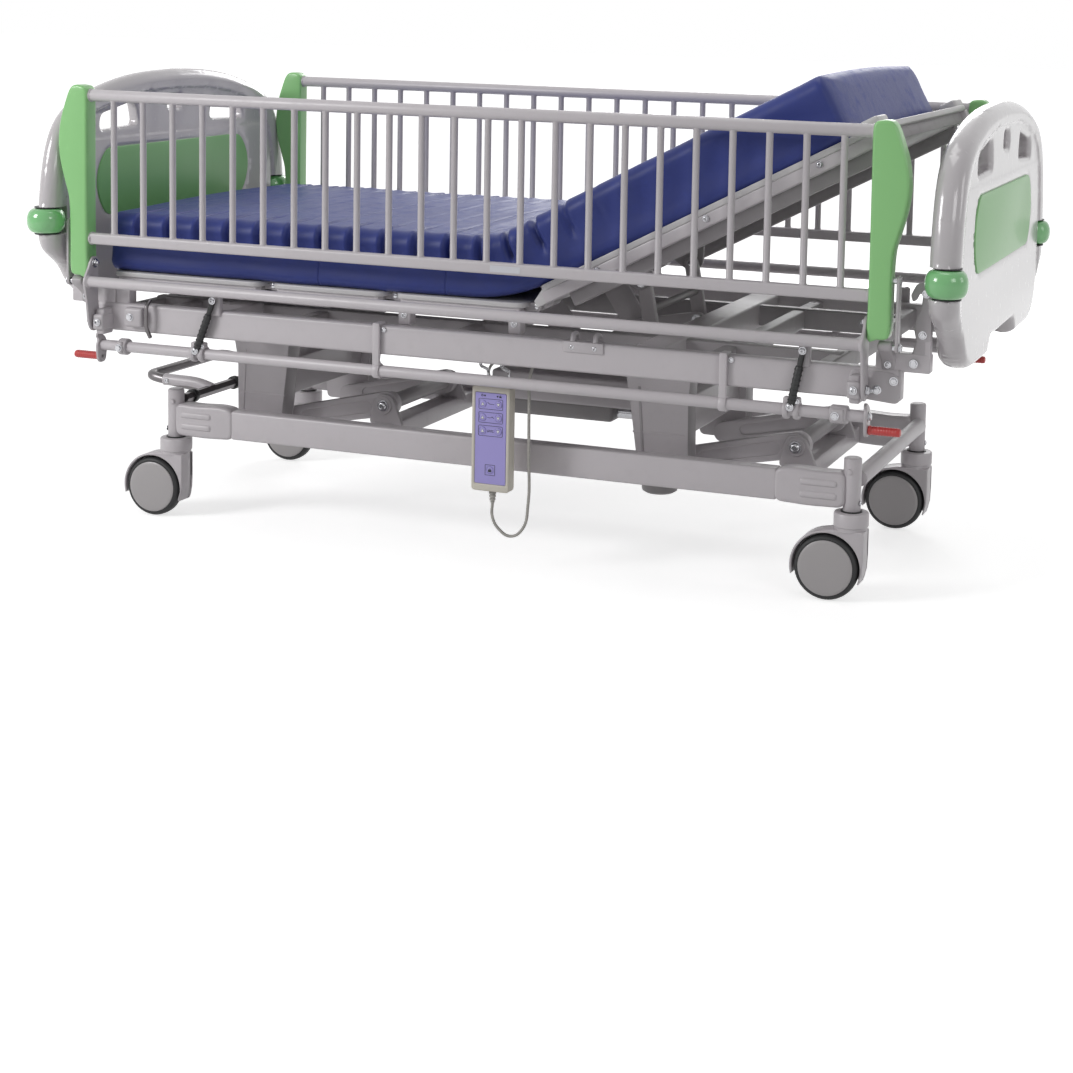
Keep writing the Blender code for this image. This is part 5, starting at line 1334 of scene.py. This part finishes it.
def board_skin(end):
    """The board as one blown-looking moulding: its thickness at each place comes from the
    distance to its rim, its panel, its holes and its inlay."""
    inner, outer, depth = BOARDS[end]
    middle, full = end * (inner + outer) / 2, (outer - inner) / 2
    smooth_rim = mirrored(flowing_half(BOARD_HALF))
    rim, outline = spaced(smooth_rim, 0.008), spaced(notch(smooth_rim), 0.008)
    holes = [spaced(hole, 0.006) for hole in hand_holes()]
    field = spaced(mirrored(PANEL_HALF), 0.012)
    inlay = spaced(softened(mirrored(INLAY_HALF), 0.025), 0.008)

    def within(point):
        return inside(point, outline) and not any(inside(point, hole) for hole in holes)

    def half_thick(point, share):
        y, z = abs(point[0]), point[1]
        low_part = 1 - eased(z, 0.500, 0.600)
        edge = to_edge(point, rim)
        signed = to_edge(point, field) * (1 if inside(point, field) else -1)
        sunk = depth * (0.30 * eased(signed, -0.020, -0.002) + 0.70 * eased(signed, -0.001, 0.005))
        sunk *= share * (1 - 0.75 * low_part)
        step = 0.0032 * share * eased(z, 0.788, 0.795) * eased(signed, 0.004, 0.016)
        thick = full - sunk - step
        around = to_edge(point, inlay)
        if around < INLAY_GROOVE and not inside(point, inlay):
            thick -= 0.0020 * (1 - around / INLAY_GROOVE)
        round_off = RIM_ROUND + (LOW_RIM_ROUND - RIM_ROUND) * low_part
        if edge < round_off:
            thick *= sqrt(max(0.0, 1 - (1 - edge / round_off) ** 2.0))
        near = min(to_edge(point, hole) for hole in holes)
        if near < HOLE_ROUND:
            thick *= 0.55 + 0.45 * sqrt(max(0.0, 1 - (1 - near / HOLE_ROUND) ** 2.0))
        return thick

    points = [Vector(p) for p in outline]
    edges = [(i, (i + 1) % len(outline)) for i in range(len(outline))]
    for hole in holes:
        start = len(points)
        points += [Vector(p) for p in hole]
        edges += [(start + i, start + (i + 1) % len(hole)) for i in range(len(hole))]
    beside = ringed(rim, (0.0006, 0.002, 0.0045, 0.008, 0.0125, 0.018, 0.026), 1)
    for hole in holes:
        beside += ringed(hole, (0.0006, 0.002, 0.0045, 0.008, 0.0115), -1)
    beside += ringed(field, (0.016, 0.009, 0.0045, 0.0012), -1)
    beside += ringed(field, (0.0010, 0.0028, 0.0052, 0.010), 1)
    beside += ringed(inlay, (0.0001, 0.003, 0.006), -1)
    beside += [Vector((i * 0.016, 0.455 + j * 0.016)) for i in range(-30, 31) for j in range(31)]
    beside += [Vector((i * 0.012, z)) for i in range(-32, 33) for z in (0.7875, 0.7915, 0.7955)]
    points += [point for point in beside if within(point)]
    spots, _, faces, sources = delaunay_2d_cdt(points, edges, [], 0, 0.00015)[:4]
    pocket = (ROLLER_LOW - 0.0035, ROLLER_TOP + 0.0035)
    outside = [half_thick(p, OUTSIDE_SHARE) for p in spots]
    inside_face = [half_thick(p, 1.0) for p in spots]
    shut = [any(number < len(outline) for number in source)
            and not pocket[0] < spot.y < pocket[1] for spot, source in zip(spots, sources)]
    bm = bmesh.new()
    front = [bm.verts.new((middle + end * (0.0 if rim_point else h), p.x, p.y))
             for p, h, rim_point in zip(spots, outside, shut)]
    back = [f if rim_point else bm.verts.new((middle - end * h, p.x, p.y))
            for f, p, h, rim_point in zip(front, spots, inside_face, shut)]
    used = {}
    for face in faces:
        if all(shut[i] for i in face):
            continue
        if not within(sum((spots[i] for i in face), Vector((0.0, 0.0))) / len(face)):
            continue
        for layer in (front, back):
            corners = [layer[i] for i in face]
            if len(set(corners)) == 3 and not bm.faces.get(corners):
                bm.faces.new(corners)
        for k in range(3):
            pair = (min(face[k], face[k - 1]), max(face[k], face[k - 1]))
            used[pair] = used.get(pair, 0) + 1
    for (i, j), count in used.items():
        if count == 1 and not (shut[i] and shut[j]):
            corners = []
            for vert in (front[i], front[j], back[j], back[i]):
                if vert not in corners:
                    corners.append(vert)
            if len(corners) > 2:
                bm.faces.new(corners)
    return as_mesh(bm)


def notch(rim):
    """The rim outline with the two roller pockets cut into its sides."""
    deep, low, high = ROLLER_Y - ROLLER_R - 0.004, ROLLER_LOW - 0.003, ROLLER_TOP + 0.003
    points = []
    for side in (1, -1):
        half = [p for p in rim if p[0] * side > 0 or (side > 0 and abs(p[0]) < 1e-6)]
        upper = [p for p in half if p[1] > high]
        lower = [p for p in half if p[1] < low]
        wide_high = max(abs(p[0]) for p in upper if p[1] < high + 0.05)
        wide_low = max(abs(p[0]) for p in lower if p[1] > low - 0.02)
        pocket = [(side * (wide_high + 0.0015), high), (side * deep, high), (side * deep, low),
                  (side * wide_low, low)]
        points += upper + pocket + lower if side > 0 else lower + pocket[::-1] + upper
    return points


def make_board(end_name, end):
    inner, outer, depth = BOARDS[end]
    middle = end * (inner + outer) / 2
    made = Assembly(f"{end_name}_board_moulding", "upper_frame", f"{end_name}_board")
    made.add(BOARD, board_skin(end))
    inlay = softened(mirrored(INLAY_HALF), 0.025, 8)
    full = (outer - inner) / 2
    low, high = full - depth + 0.0014, full - OUTSIDE_SHARE * depth + 0.0014
    made.add(INLAY, plate(inlay, low + high, "X", middle + end * (high - low) / 2, 0.0018, (), 3))
    for _, side in SIDES:
        x = end * ROLLER_X
        made.add(CHROME, bar((x, side * ROLLER_Y, ROLLER_LOW - 0.010),
                             (x, side * ROLLER_Y, ROLLER_TOP + 0.010), 0.005))
        for z in (ROLLER_TOP + 0.0012, ROLLER_LOW - 0.0034):
            made.add(BLACK, bar((x, side * (ROLLER_Y - 0.004), z),
                                (x, side * (ROLLER_Y - 0.004), z + 0.0022), 0.026, 0.0005))
    made.build(42.0)


def make_roller(end_name, end, side_name, side):
    made = Assembly(f"bumper_{end_name}_{side_name}", f"bumper_{end_name}_{side_name}",
                    f"roller_{end_name}_{side_name}")
    half = (ROLLER_TOP - ROLLER_LOW) / 2
    profile = [(0.0056, -half), (0.0165, -half)]
    for k in range(13):
        angle = -pi / 2 + pi * k / 12
        profile.append((ROLLER_R - 0.0185 + 0.0185 * cos(angle) ** 0.72 if 0 < k < 12
                        else ROLLER_R - 0.0185, half * sin(angle)))
    profile += [(0.0165, half), (0.0056, half)]
    made.add(GREEN_GLOSS, turned(profile, (end * ROLLER_X, side * ROLLER_Y, 0.633), (0, 0, 1), 44))
    made.build(50.0)


# mattress
BEND_START, BEND_END = -0.045, 0.140
PAD_LOW = DECK_TOP + 0.0008


def pad_line():
    """The mattress's middle line: flat from the foot, then curving up along the back section.
    Rows of (x, z, angle, half thickness, distance from the foot end)."""
    step = 0.0045
    x, z, run = DECK_FOOT_X - 0.012, PAD_LOW + MATTRESS_T / 2, 0.0
    rows = []
    along, lift = cos(BACK_ANGLE), sin(BACK_ANGLE)
    while True:
        angle = BACK_ANGLE * eased(x, BEND_START, BEND_END)
        thick = MATTRESS_T / 2 + (BACK_PAD_T - MATTRESS_T) / 2 * eased(x, 0.05, 0.22)
        rows.append((x, z, angle, thick, run))
        reach = (x - HIP_X) * along + (z - PIVOT_Z) * lift
        if reach > MATTRESS_HEAD - 0.026:
            return rows
        x += step * cos(angle)
        z += step * sin(angle)
        run += step


def pad_section(half, squeeze):
    """Half width and height round the pad, anticlockwise from the lower middle; squeeze pulls
    the ends in."""
    w, h = MATTRESS_HALF_W - squeeze, half - squeeze * 0.7
    quarter = []
    for k in range(9):
        quarter.append((w * k / 9 * 0.98, -h))
    for k in range(6):
        angle = -pi / 2 + pi / 2 * k / 5
        quarter.append((w - 0.020 + 0.018 * cos(angle), -h + 0.018 + 0.018 * sin(angle)))
    for k in range(1, 8):
        t = k / 8
        side = -h + 0.018 + (2 * h - 0.018 - 0.030) * t
        quarter.append((w - 0.002 - 0.004 * sin(pi * t), side))
    for k in range(7):
        angle = pi / 2 * k / 6
        quarter.append((w - 0.030 + 0.028 * cos(angle), h - 0.030 + 0.028 * sin(angle)))
    for k in range(1, 13):
        t = k / 12
        quarter.append(((w - 0.030) * (1 - t), h - 0.002 + 0.006 * sin(pi / 2 * t)))
    return quarter


# the sewn channels, where a length ends in one, and how far the puffs and creases reach
CHANNEL_PITCH, CHANNEL_HALF_W, CHANNEL_DEPTH = 0.070, 0.0085, 0.017
THIGH_CUT, SEAT_CUT = 7, 11
CHANNELS_FADE, PUFFS_FADE, HIP_CREASES = (0.93, 1.16), (0.95, 1.10), (0.74, 0.84)
END_ROUND = 0.015


def groove_depth(run, total):
    """How deep the sewn channels are at a distance from the foot end: even on the flat part,
    fading out beyond the hip."""
    near = abs((run / CHANNEL_PITCH + 0.5) % 1.0 - 0.5) * CHANNEL_PITCH
    if run < CHANNEL_PITCH * 0.5 or run > total - 0.35:
        return 0.0
    fade = 1 - eased(run, *CHANNELS_FADE)
    return CHANNEL_DEPTH * fade * max(0.0, 1 - (near / CHANNEL_HALF_W) ** 2) ** 0.9


def pad_ring(row, total, at_end):
    """One ring of places round the mattress, with its channels, puffs and creases."""
    x, z, angle, thick, run = row
    to_end = min(run, total - run, END_ROUND) / END_ROUND
    squeeze = END_ROUND * (1 - sqrt(max(0.0, 1 - (1 - to_end) ** 2)))
    if at_end:
        squeeze = END_ROUND
    quarter = pad_section(thick, squeeze)
    loop = quarter + [(-y, h) for y, h in reversed(quarter) if abs(y) > 1e-6]
    dip = groove_depth(run, total)
    flat = 1 - eased(run, *PUFFS_FADE)
    puff = 0.0015 * flat * cos(2 * pi * (run / CHANNEL_PITCH + 0.5))
    hip = eased(run, *HIP_CREASES) * flat
    points = []
    for y, h in loop:
        high = eased(h, -0.012, 0.018)
        side = eased(abs(y), MATTRESS_HALF_W - 0.040, MATTRESS_HALF_W - 0.010)
        rim = eased(abs(y), MATTRESS_HALF_W - 0.110, MATTRESS_HALF_W - 0.030)
        out = -dip * high * (0.10 + 0.90 * rim) - puff * high * (0.25 + 0.75 * rim)
        spot = Vector((run * 9.0, y * 3.0, h * 8.0))
        out += 0.0022 * noise.noise(spot) * (0.3 + 0.7 * high)
        fold = noise.noise(Vector((run * 42.0, y * 4.5, h * 11.0)))
        out += 0.0042 * fold * hip * high
        slack = noise.noise(Vector((run * 7.0 + h * 30.0, y * 2.0, 4.2)))
        out += 0.0024 * slack * side * (1 - high)
        normal_y, normal_h = y / MATTRESS_HALF_W, h / thick
        if abs(normal_y) < 0.90:
            normal_y *= 0.15
        long = hypot(normal_y, normal_h) or 1.0
        y2, h2 = y + out * normal_y / long, h + out * normal_h / long
        points.append(Vector((x - h2 * sin(angle), y2, z + h2 * cos(angle))))
    return points


def make_pad(name, rows, total, whole, nodes):
    """One length of the mattress between two sewn channels, with a puffed face at a free end."""
    bm = bmesh.new()
    loops = []
    for row in rows:
        at_end = row is whole[0] or row is whole[-1]
        loops.append([bm.verts.new(p) for p in pad_ring(row, total, at_end)])
    count = len(loops[0])
    for a, b in zip(loops, loops[1:]):
        for k in range(count):
            bm.faces.new((a[k], a[(k + 1) % count], b[(k + 1) % count], b[k]))
    for loop, other, free in ((loops[0], loops[-1], rows[0] is whole[0]),
                              (loops[-1], loops[0], rows[-1] is whole[-1])):
        centre = sum((v.co for v in loop), Vector()) / count
        away = (loop[0].co - other[0].co).normalized()
        inner = loop
        for shrink, push in ((0.90, 0.004), (0.55, 0.006)):
            step = away * (push if free else 0.0)
            fresh = [bm.verts.new(centre + (v.co - centre) * shrink + step) for v in loop]
            for k in range(count):
                bm.faces.new((inner[k], inner[(k + 1) % count], fresh[(k + 1) % count], fresh[k]))
            inner = fresh
        bm.faces.new(inner)
    mesh = as_mesh(bm)
    mesh.name = name
    mesh.shade_smooth()
    mesh.materials.append(COVER.material)
    pad = shown(name, mesh)
    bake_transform(pad)
    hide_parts(*nodes)


def make_mattress():
    """Three lengths that meet in sewn channels, each lying over one hinge of the deck; only the
    back length curves up.
    """
    rows = pad_line()
    total = rows[-1][4]
    thigh_cut, seat_cut = (min(range(len(rows)),
                               key=lambda i: abs(rows[i][4] - channel * CHANNEL_PITCH))
                           for channel in (THIGH_CUT, SEAT_CUT))
    make_pad("mattress_leg_length", rows[:thigh_cut + 1], total, rows,
             ("mattress_leg",))
    make_pad("mattress_thigh_length", rows[thigh_cut:seat_cut + 1], total, rows,
             ("mattress_thigh", "mattress_seat"))
    make_pad("mattress_back_length", rows[seat_cut:], total, rows,
             ("mattress_back",))


# hand control
KEY_FACE = -0.0005


def keypad_place(x, z):
    return (HAND_X + x, HAND_Y - HAND_D / 2, HAND_Z + z)


def printed(made, finish, outline, lift=0.0004, holes=()):
    """A printed mark on the keypad, given in X and Z from the middle of the hand control."""
    y = HAND_Y - HAND_D / 2 + 0.0010 - lift
    made.add(finish, plate([(HAND_X + x, HAND_Z + z) for x, z in outline], 0.0003, "Y", y, 0.00005,
                           [[(HAND_X + x, HAND_Z + z) for x, z in hole] for hole in holes], 1))


def frame_mark(made, x0, x1, z0, z1, wide=0.0007, corner=0.0025):
    outer = softened(rectangle(x0, x1, z0, z1), corner, 4)
    inner = softened(rectangle(x0 + wide, x1 - wide, z0 + wide, z1 - wide), corner * 0.7, 4)
    printed(made, INK, outer, 0.0004, (inner,))


def stroke(made, a, b, wide=0.0009):
    printed(made, INK, strap(a, b, wide / 2, wide / 2, 4))


def padlock(made, x, z, size, top, bow_z, bow, lift):
    """A padlock sign; bow is the outer and inner radius of its shackle."""
    printed(made, INK, rectangle(x - size, x + size, z - size, z + top), lift)
    printed(made, INK, arc((x, z + bow_z), bow[0], range(0, 181, 15))
            + arc((x, z + bow_z), bow[1], range(180, -1, -15)), lift)


def bed_mark(made, z, form):
    """Generic bed signs between the keys: back up, knees up, whole bed up."""
    if form == "back":
        stroke(made, (-0.0065, z + 0.0030), (-0.0030, z + 0.0006))
        for x in (-0.0022, 0.0012, 0.0046):
            stroke(made, (x, z), (x + 0.0020, z))
    elif form == "knee":
        for x in (-0.0065, -0.0032):
            stroke(made, (x, z), (x + 0.0020, z))
        stroke(made, (0.0002, z), (0.0030, z + 0.0022))
        stroke(made, (0.0030, z + 0.0022), (0.0062, z - 0.0004))
    else:
        for x in (-0.0065, -0.0030, 0.0005, 0.0040):
            stroke(made, (x, z + 0.0014), (x + 0.0020, z + 0.0014))
        stroke(made, (-0.0065, z - 0.0012), (0.0062, z - 0.0012))
        for x in (-0.0055, 0.0055):
            stroke(made, (x, z - 0.0012), (x, z - 0.0026))


KEY_X = 0.0165
KEY_ROWS = {"back": 0.0682, "knee": 0.0416, "height": 0.0155}
KEYS = {f"{row}_{way}": (x, z) for row, z in KEY_ROWS.items()
        for way, x in (("up", -KEY_X), ("down", KEY_X))}
KEYS["lock"] = (0.0, -0.0614)


def make_hand_control():
    made = Assembly("hand_control_shell", "upper_frame", "hand_control")
    x0, x1 = HAND_X - HAND_W / 2, HAND_X + HAND_W / 2
    z0, z1 = HAND_Z - HAND_H / 2, HAND_Z + HAND_H / 2
    front, back = HAND_Y - HAND_D / 2, HAND_Y + HAND_D / 2
    outline = softened(rectangle(x0, x1, z0, z1), 0.008, 6)
    window = softened(rectangle(HAND_X - 0.0328, HAND_X + 0.0328, HAND_Z - 0.0893,
                                HAND_Z + 0.0903), 0.003, 4)
    made.add(SHELL, plate(outline, 0.0145, "Y", back - 0.0072, 0.006, (), 5),
             plate(outline, 0.0150, "Y", back - 0.0160, 0.0012),
             plate(outline, 0.0085, "Y", front + 0.0042, 0.0030, (window,), 4))
    wells = [ring_outline(keypad_place(x, z)[::2], 0.00745, 24) for x, z in KEYS.values()]
    pad = softened(rectangle(HAND_X - 0.0324, HAND_X + 0.0324, HAND_Z - 0.0889,
                             HAND_Z + 0.0899), 0.0026, 4)
    made.add(MEMBRANE, plate(pad, 0.0032, "Y", front + 0.0010 + 0.0016, 0.0002, wells, 1))
    for row, z in KEY_ROWS.items():
        frame_mark(made, -0.0255, 0.0255, z - 0.0105, z + 0.0105)
        bed_mark(made, z, row)
    frame_mark(made, -0.0105, 0.0105, -0.0719, -0.0509, 0.0007, 0.0008)
    for x in (-0.0125, 0.0142):
        printed(made, INK, ring_outline((x, 0.0845), 0.0017, 16))
    power = (-0.0182, 0.0846)
    printed(made, INK, arc(power, 0.0023, range(-235, 56, 15))
            + arc(power, 0.0016, range(55, -236, -15)))
    stroke(made, (power[0], 0.0850), (power[0], 0.0873), 0.0007)
    padlock(made, 0.0200, 0.0846, 0.0024, 0.00036, 0.00084, (0.001584, 0.000912), 0.0004)
    for rib in range(6):
        z = HAND_Z - 0.060 + rib * 0.024
        made.add(SHELL, block((x0 - 0.0006, HAND_Y - 0.002, z), (x0 + 0.002, HAND_Y + 0.006,
                                                                z + 0.012), 0.0005))
    made.add(SHELL, block((HAND_X - 0.012, back - 0.004, 0.3495), (HAND_X + 0.012, -0.333, 0.3540),
                          0.001),
             block((HAND_X - 0.012, -0.3375, 0.338), (HAND_X + 0.012, -0.333, 0.3535), 0.001))
    profile = [(0.0, RELIEF_TOP)]
    for k in range(4):
        z, r = RELIEF_TOP - 0.0066 * k, 0.0080 - 0.0007 * k
        profile += [(r - 0.0003, z), (r, z - 0.0006), (r, z - 0.0036), (r - 0.0003, z - 0.0042),
                    (r - 0.0020, z - 0.0046), (r - 0.0020, z - 0.0062)]
    profile += [(0.0048, RELIEF_TOP - RELIEF_LONG), (0.0, RELIEF_TOP - RELIEF_LONG)]
    made.add(CORD_SKIN, turned(profile, (HAND_X, HAND_Y, 0.0), (0, 0, 1), 28))
    made.build()


def make_key(name, x, z):
    """A domed key with its printed sign."""
    made = Assembly(f"button_{name}", f"press_{name}", f"key_{name}")
    made.add(MEMBRANE, turned([(0.0, 0.0050), (0.0069, 0.0050), (0.0070, 0.0012),
                               (0.0067, KEY_FACE + 0.0008), (0.0058, KEY_FACE + 0.0003),
                               (0.0030, KEY_FACE + 0.00005), (0.0, KEY_FACE)],
                              keypad_place(x, z), (0, 1, 0), 32))
    lift = 0.0010 - KEY_FACE + 0.00012
    if name == "lock":
        padlock(made, x, z, 0.0034, 0.0006, 0.0006, (0.0023, 0.0013), lift)
    else:
        sign = 1 if name.endswith("up") else -1
        for finish, size, more in ((INK, 0.0040, 0.0), (WHITE_INK, 0.0033, 0.00012)):
            arrow = softened([(x - size * 0.9, z - sign * size * 0.75),
                              (x + size * 0.9, z - sign * size * 0.75),
                              (x, z + sign * size * 0.95)], size * 0.25, 4)
            printed(made, finish, arrow, lift + more)
    made.build()


# studio
# the floor's own white, far off and under the bed, where it lets the soft shadow show
FLOOR_LIFT, FLOOR_REACH = (0.92, 0.62), 4.5
SKY_LIGHT = 0.20
# name, place, target, width, height and power of each lamp
LAMPS = (("key light", (-3.0, -3.2, 2.3), (-0.2, 0.0, 0.6), 1.5, 1.5, 92.0),
         ("fill light", (3.4, -2.6, 2.2), (0.2, 0.0, 0.5), 1.4, 1.2, 20.0),
         ("top light", (0.2, 0.2, 3.6), (0.0, 0.0, 0.5), 2.6, 1.4, 24.0),
         ("head light", (3.8, 0.2, 1.6), (0.9, 0.0, 0.6), 0.9, 1.2, 8.0),
         ("back light", (-0.6, 3.9, 2.2), (0.0, 0.0, 0.5), 2.2, 1.4, 46.0))


def make_studio():
    floor = bmesh.new()
    bmesh.ops.create_grid(floor, x_segments=1, y_segments=1, size=30.0)
    mesh = as_mesh(floor, False)
    ground = shown("floor", mesh)
    ground.location.z = -0.0005
    paper = Finish("floor paper", (0.80, 0.80, 0.80), 0.9, 0.0, {"Emission Strength": 1.0})
    where = paper.node("ShaderNodeMapping", None,
                       {"Vector": paper.place, "Scale": (1 / FLOOR_REACH,) * 3})
    near = paper.node("ShaderNodeTexGradient", {"gradient_type": "SPHERICAL"}, {"Vector": where},
                      out="Fac")
    paper.feed("Emission Color", paper.looked_at() * paper.band(near, 0.0, 0.6, *FLOOR_LIFT))
    mesh.materials.append(paper.material)
    world = bpy.data.worlds.new("studio")
    bpy.context.scene.world = world
    world.use_nodes = True
    sky = Nodes(world.node_tree)
    glow, white = (sky.node("ShaderNodeBackground", None, {"Color": (1.0, 1.0, 1.0, 1.0),
                                                           "Strength": strength})
                   for strength in (SKY_LIGHT, 1.0))
    both = sky.node("ShaderNodeMixShader", None, {0: sky.looked_at(), 1: glow, 2: white})
    sky.tree.links.new(both.socket, sky.tree.nodes["World Output"].inputs["Surface"])
    for name, place, target, wide, tall, power in LAMPS:
        data = bpy.data.lights.new(name, "AREA")
        data.shape = "RECTANGLE"
        data.size = wide
        data.size_y = tall
        data.energy = power
        lamp = shown(name, data)
        lamp.location = place
        away = Vector(place) - Vector(target)
        lamp.rotation_euler = away.to_track_quat("Z", "Y").to_euler()


make_base()
make_brake()
make_lift_arms("lift_arms_head", "lift_head", HEAD_ARM)
make_lift_arms("lift_arms_foot", "lift_foot", FOOT_ARM)
make_leg_yoke("leg_yoke_head", HEAD_ARM, (0.250, 0.392), (0.285, 0.388), (0.332, 0.392),
              (0.300, 0.370))
make_leg_yoke("leg_yoke_foot", FOOT_ARM, (-0.637, -0.499), (-0.622, -0.522), (-0.600, -0.540),
              (-0.600, -0.535))
make_drive()
make_deck()
make_back()
make_back_linkage()
for side_name, side in SIDES:
    make_main_rail(side_name, side)
    make_guard(side_name, side)
    make_swing(side_name, side)
    make_link_arms(side_name, side)
    make_latch(side_name, side)
    for end_name, end in ENDS:
        make_caster(end_name, end, side_name, side)
        make_post(end_name, end, side_name, side)
        make_roller(end_name, end, side_name, side)
for end_name, end in ENDS:
    make_board(end_name, end)
make_mattress()
make_hand_control()
for key_name, (x, z) in KEYS.items():
    make_key(key_name, x, z)
make_studio()
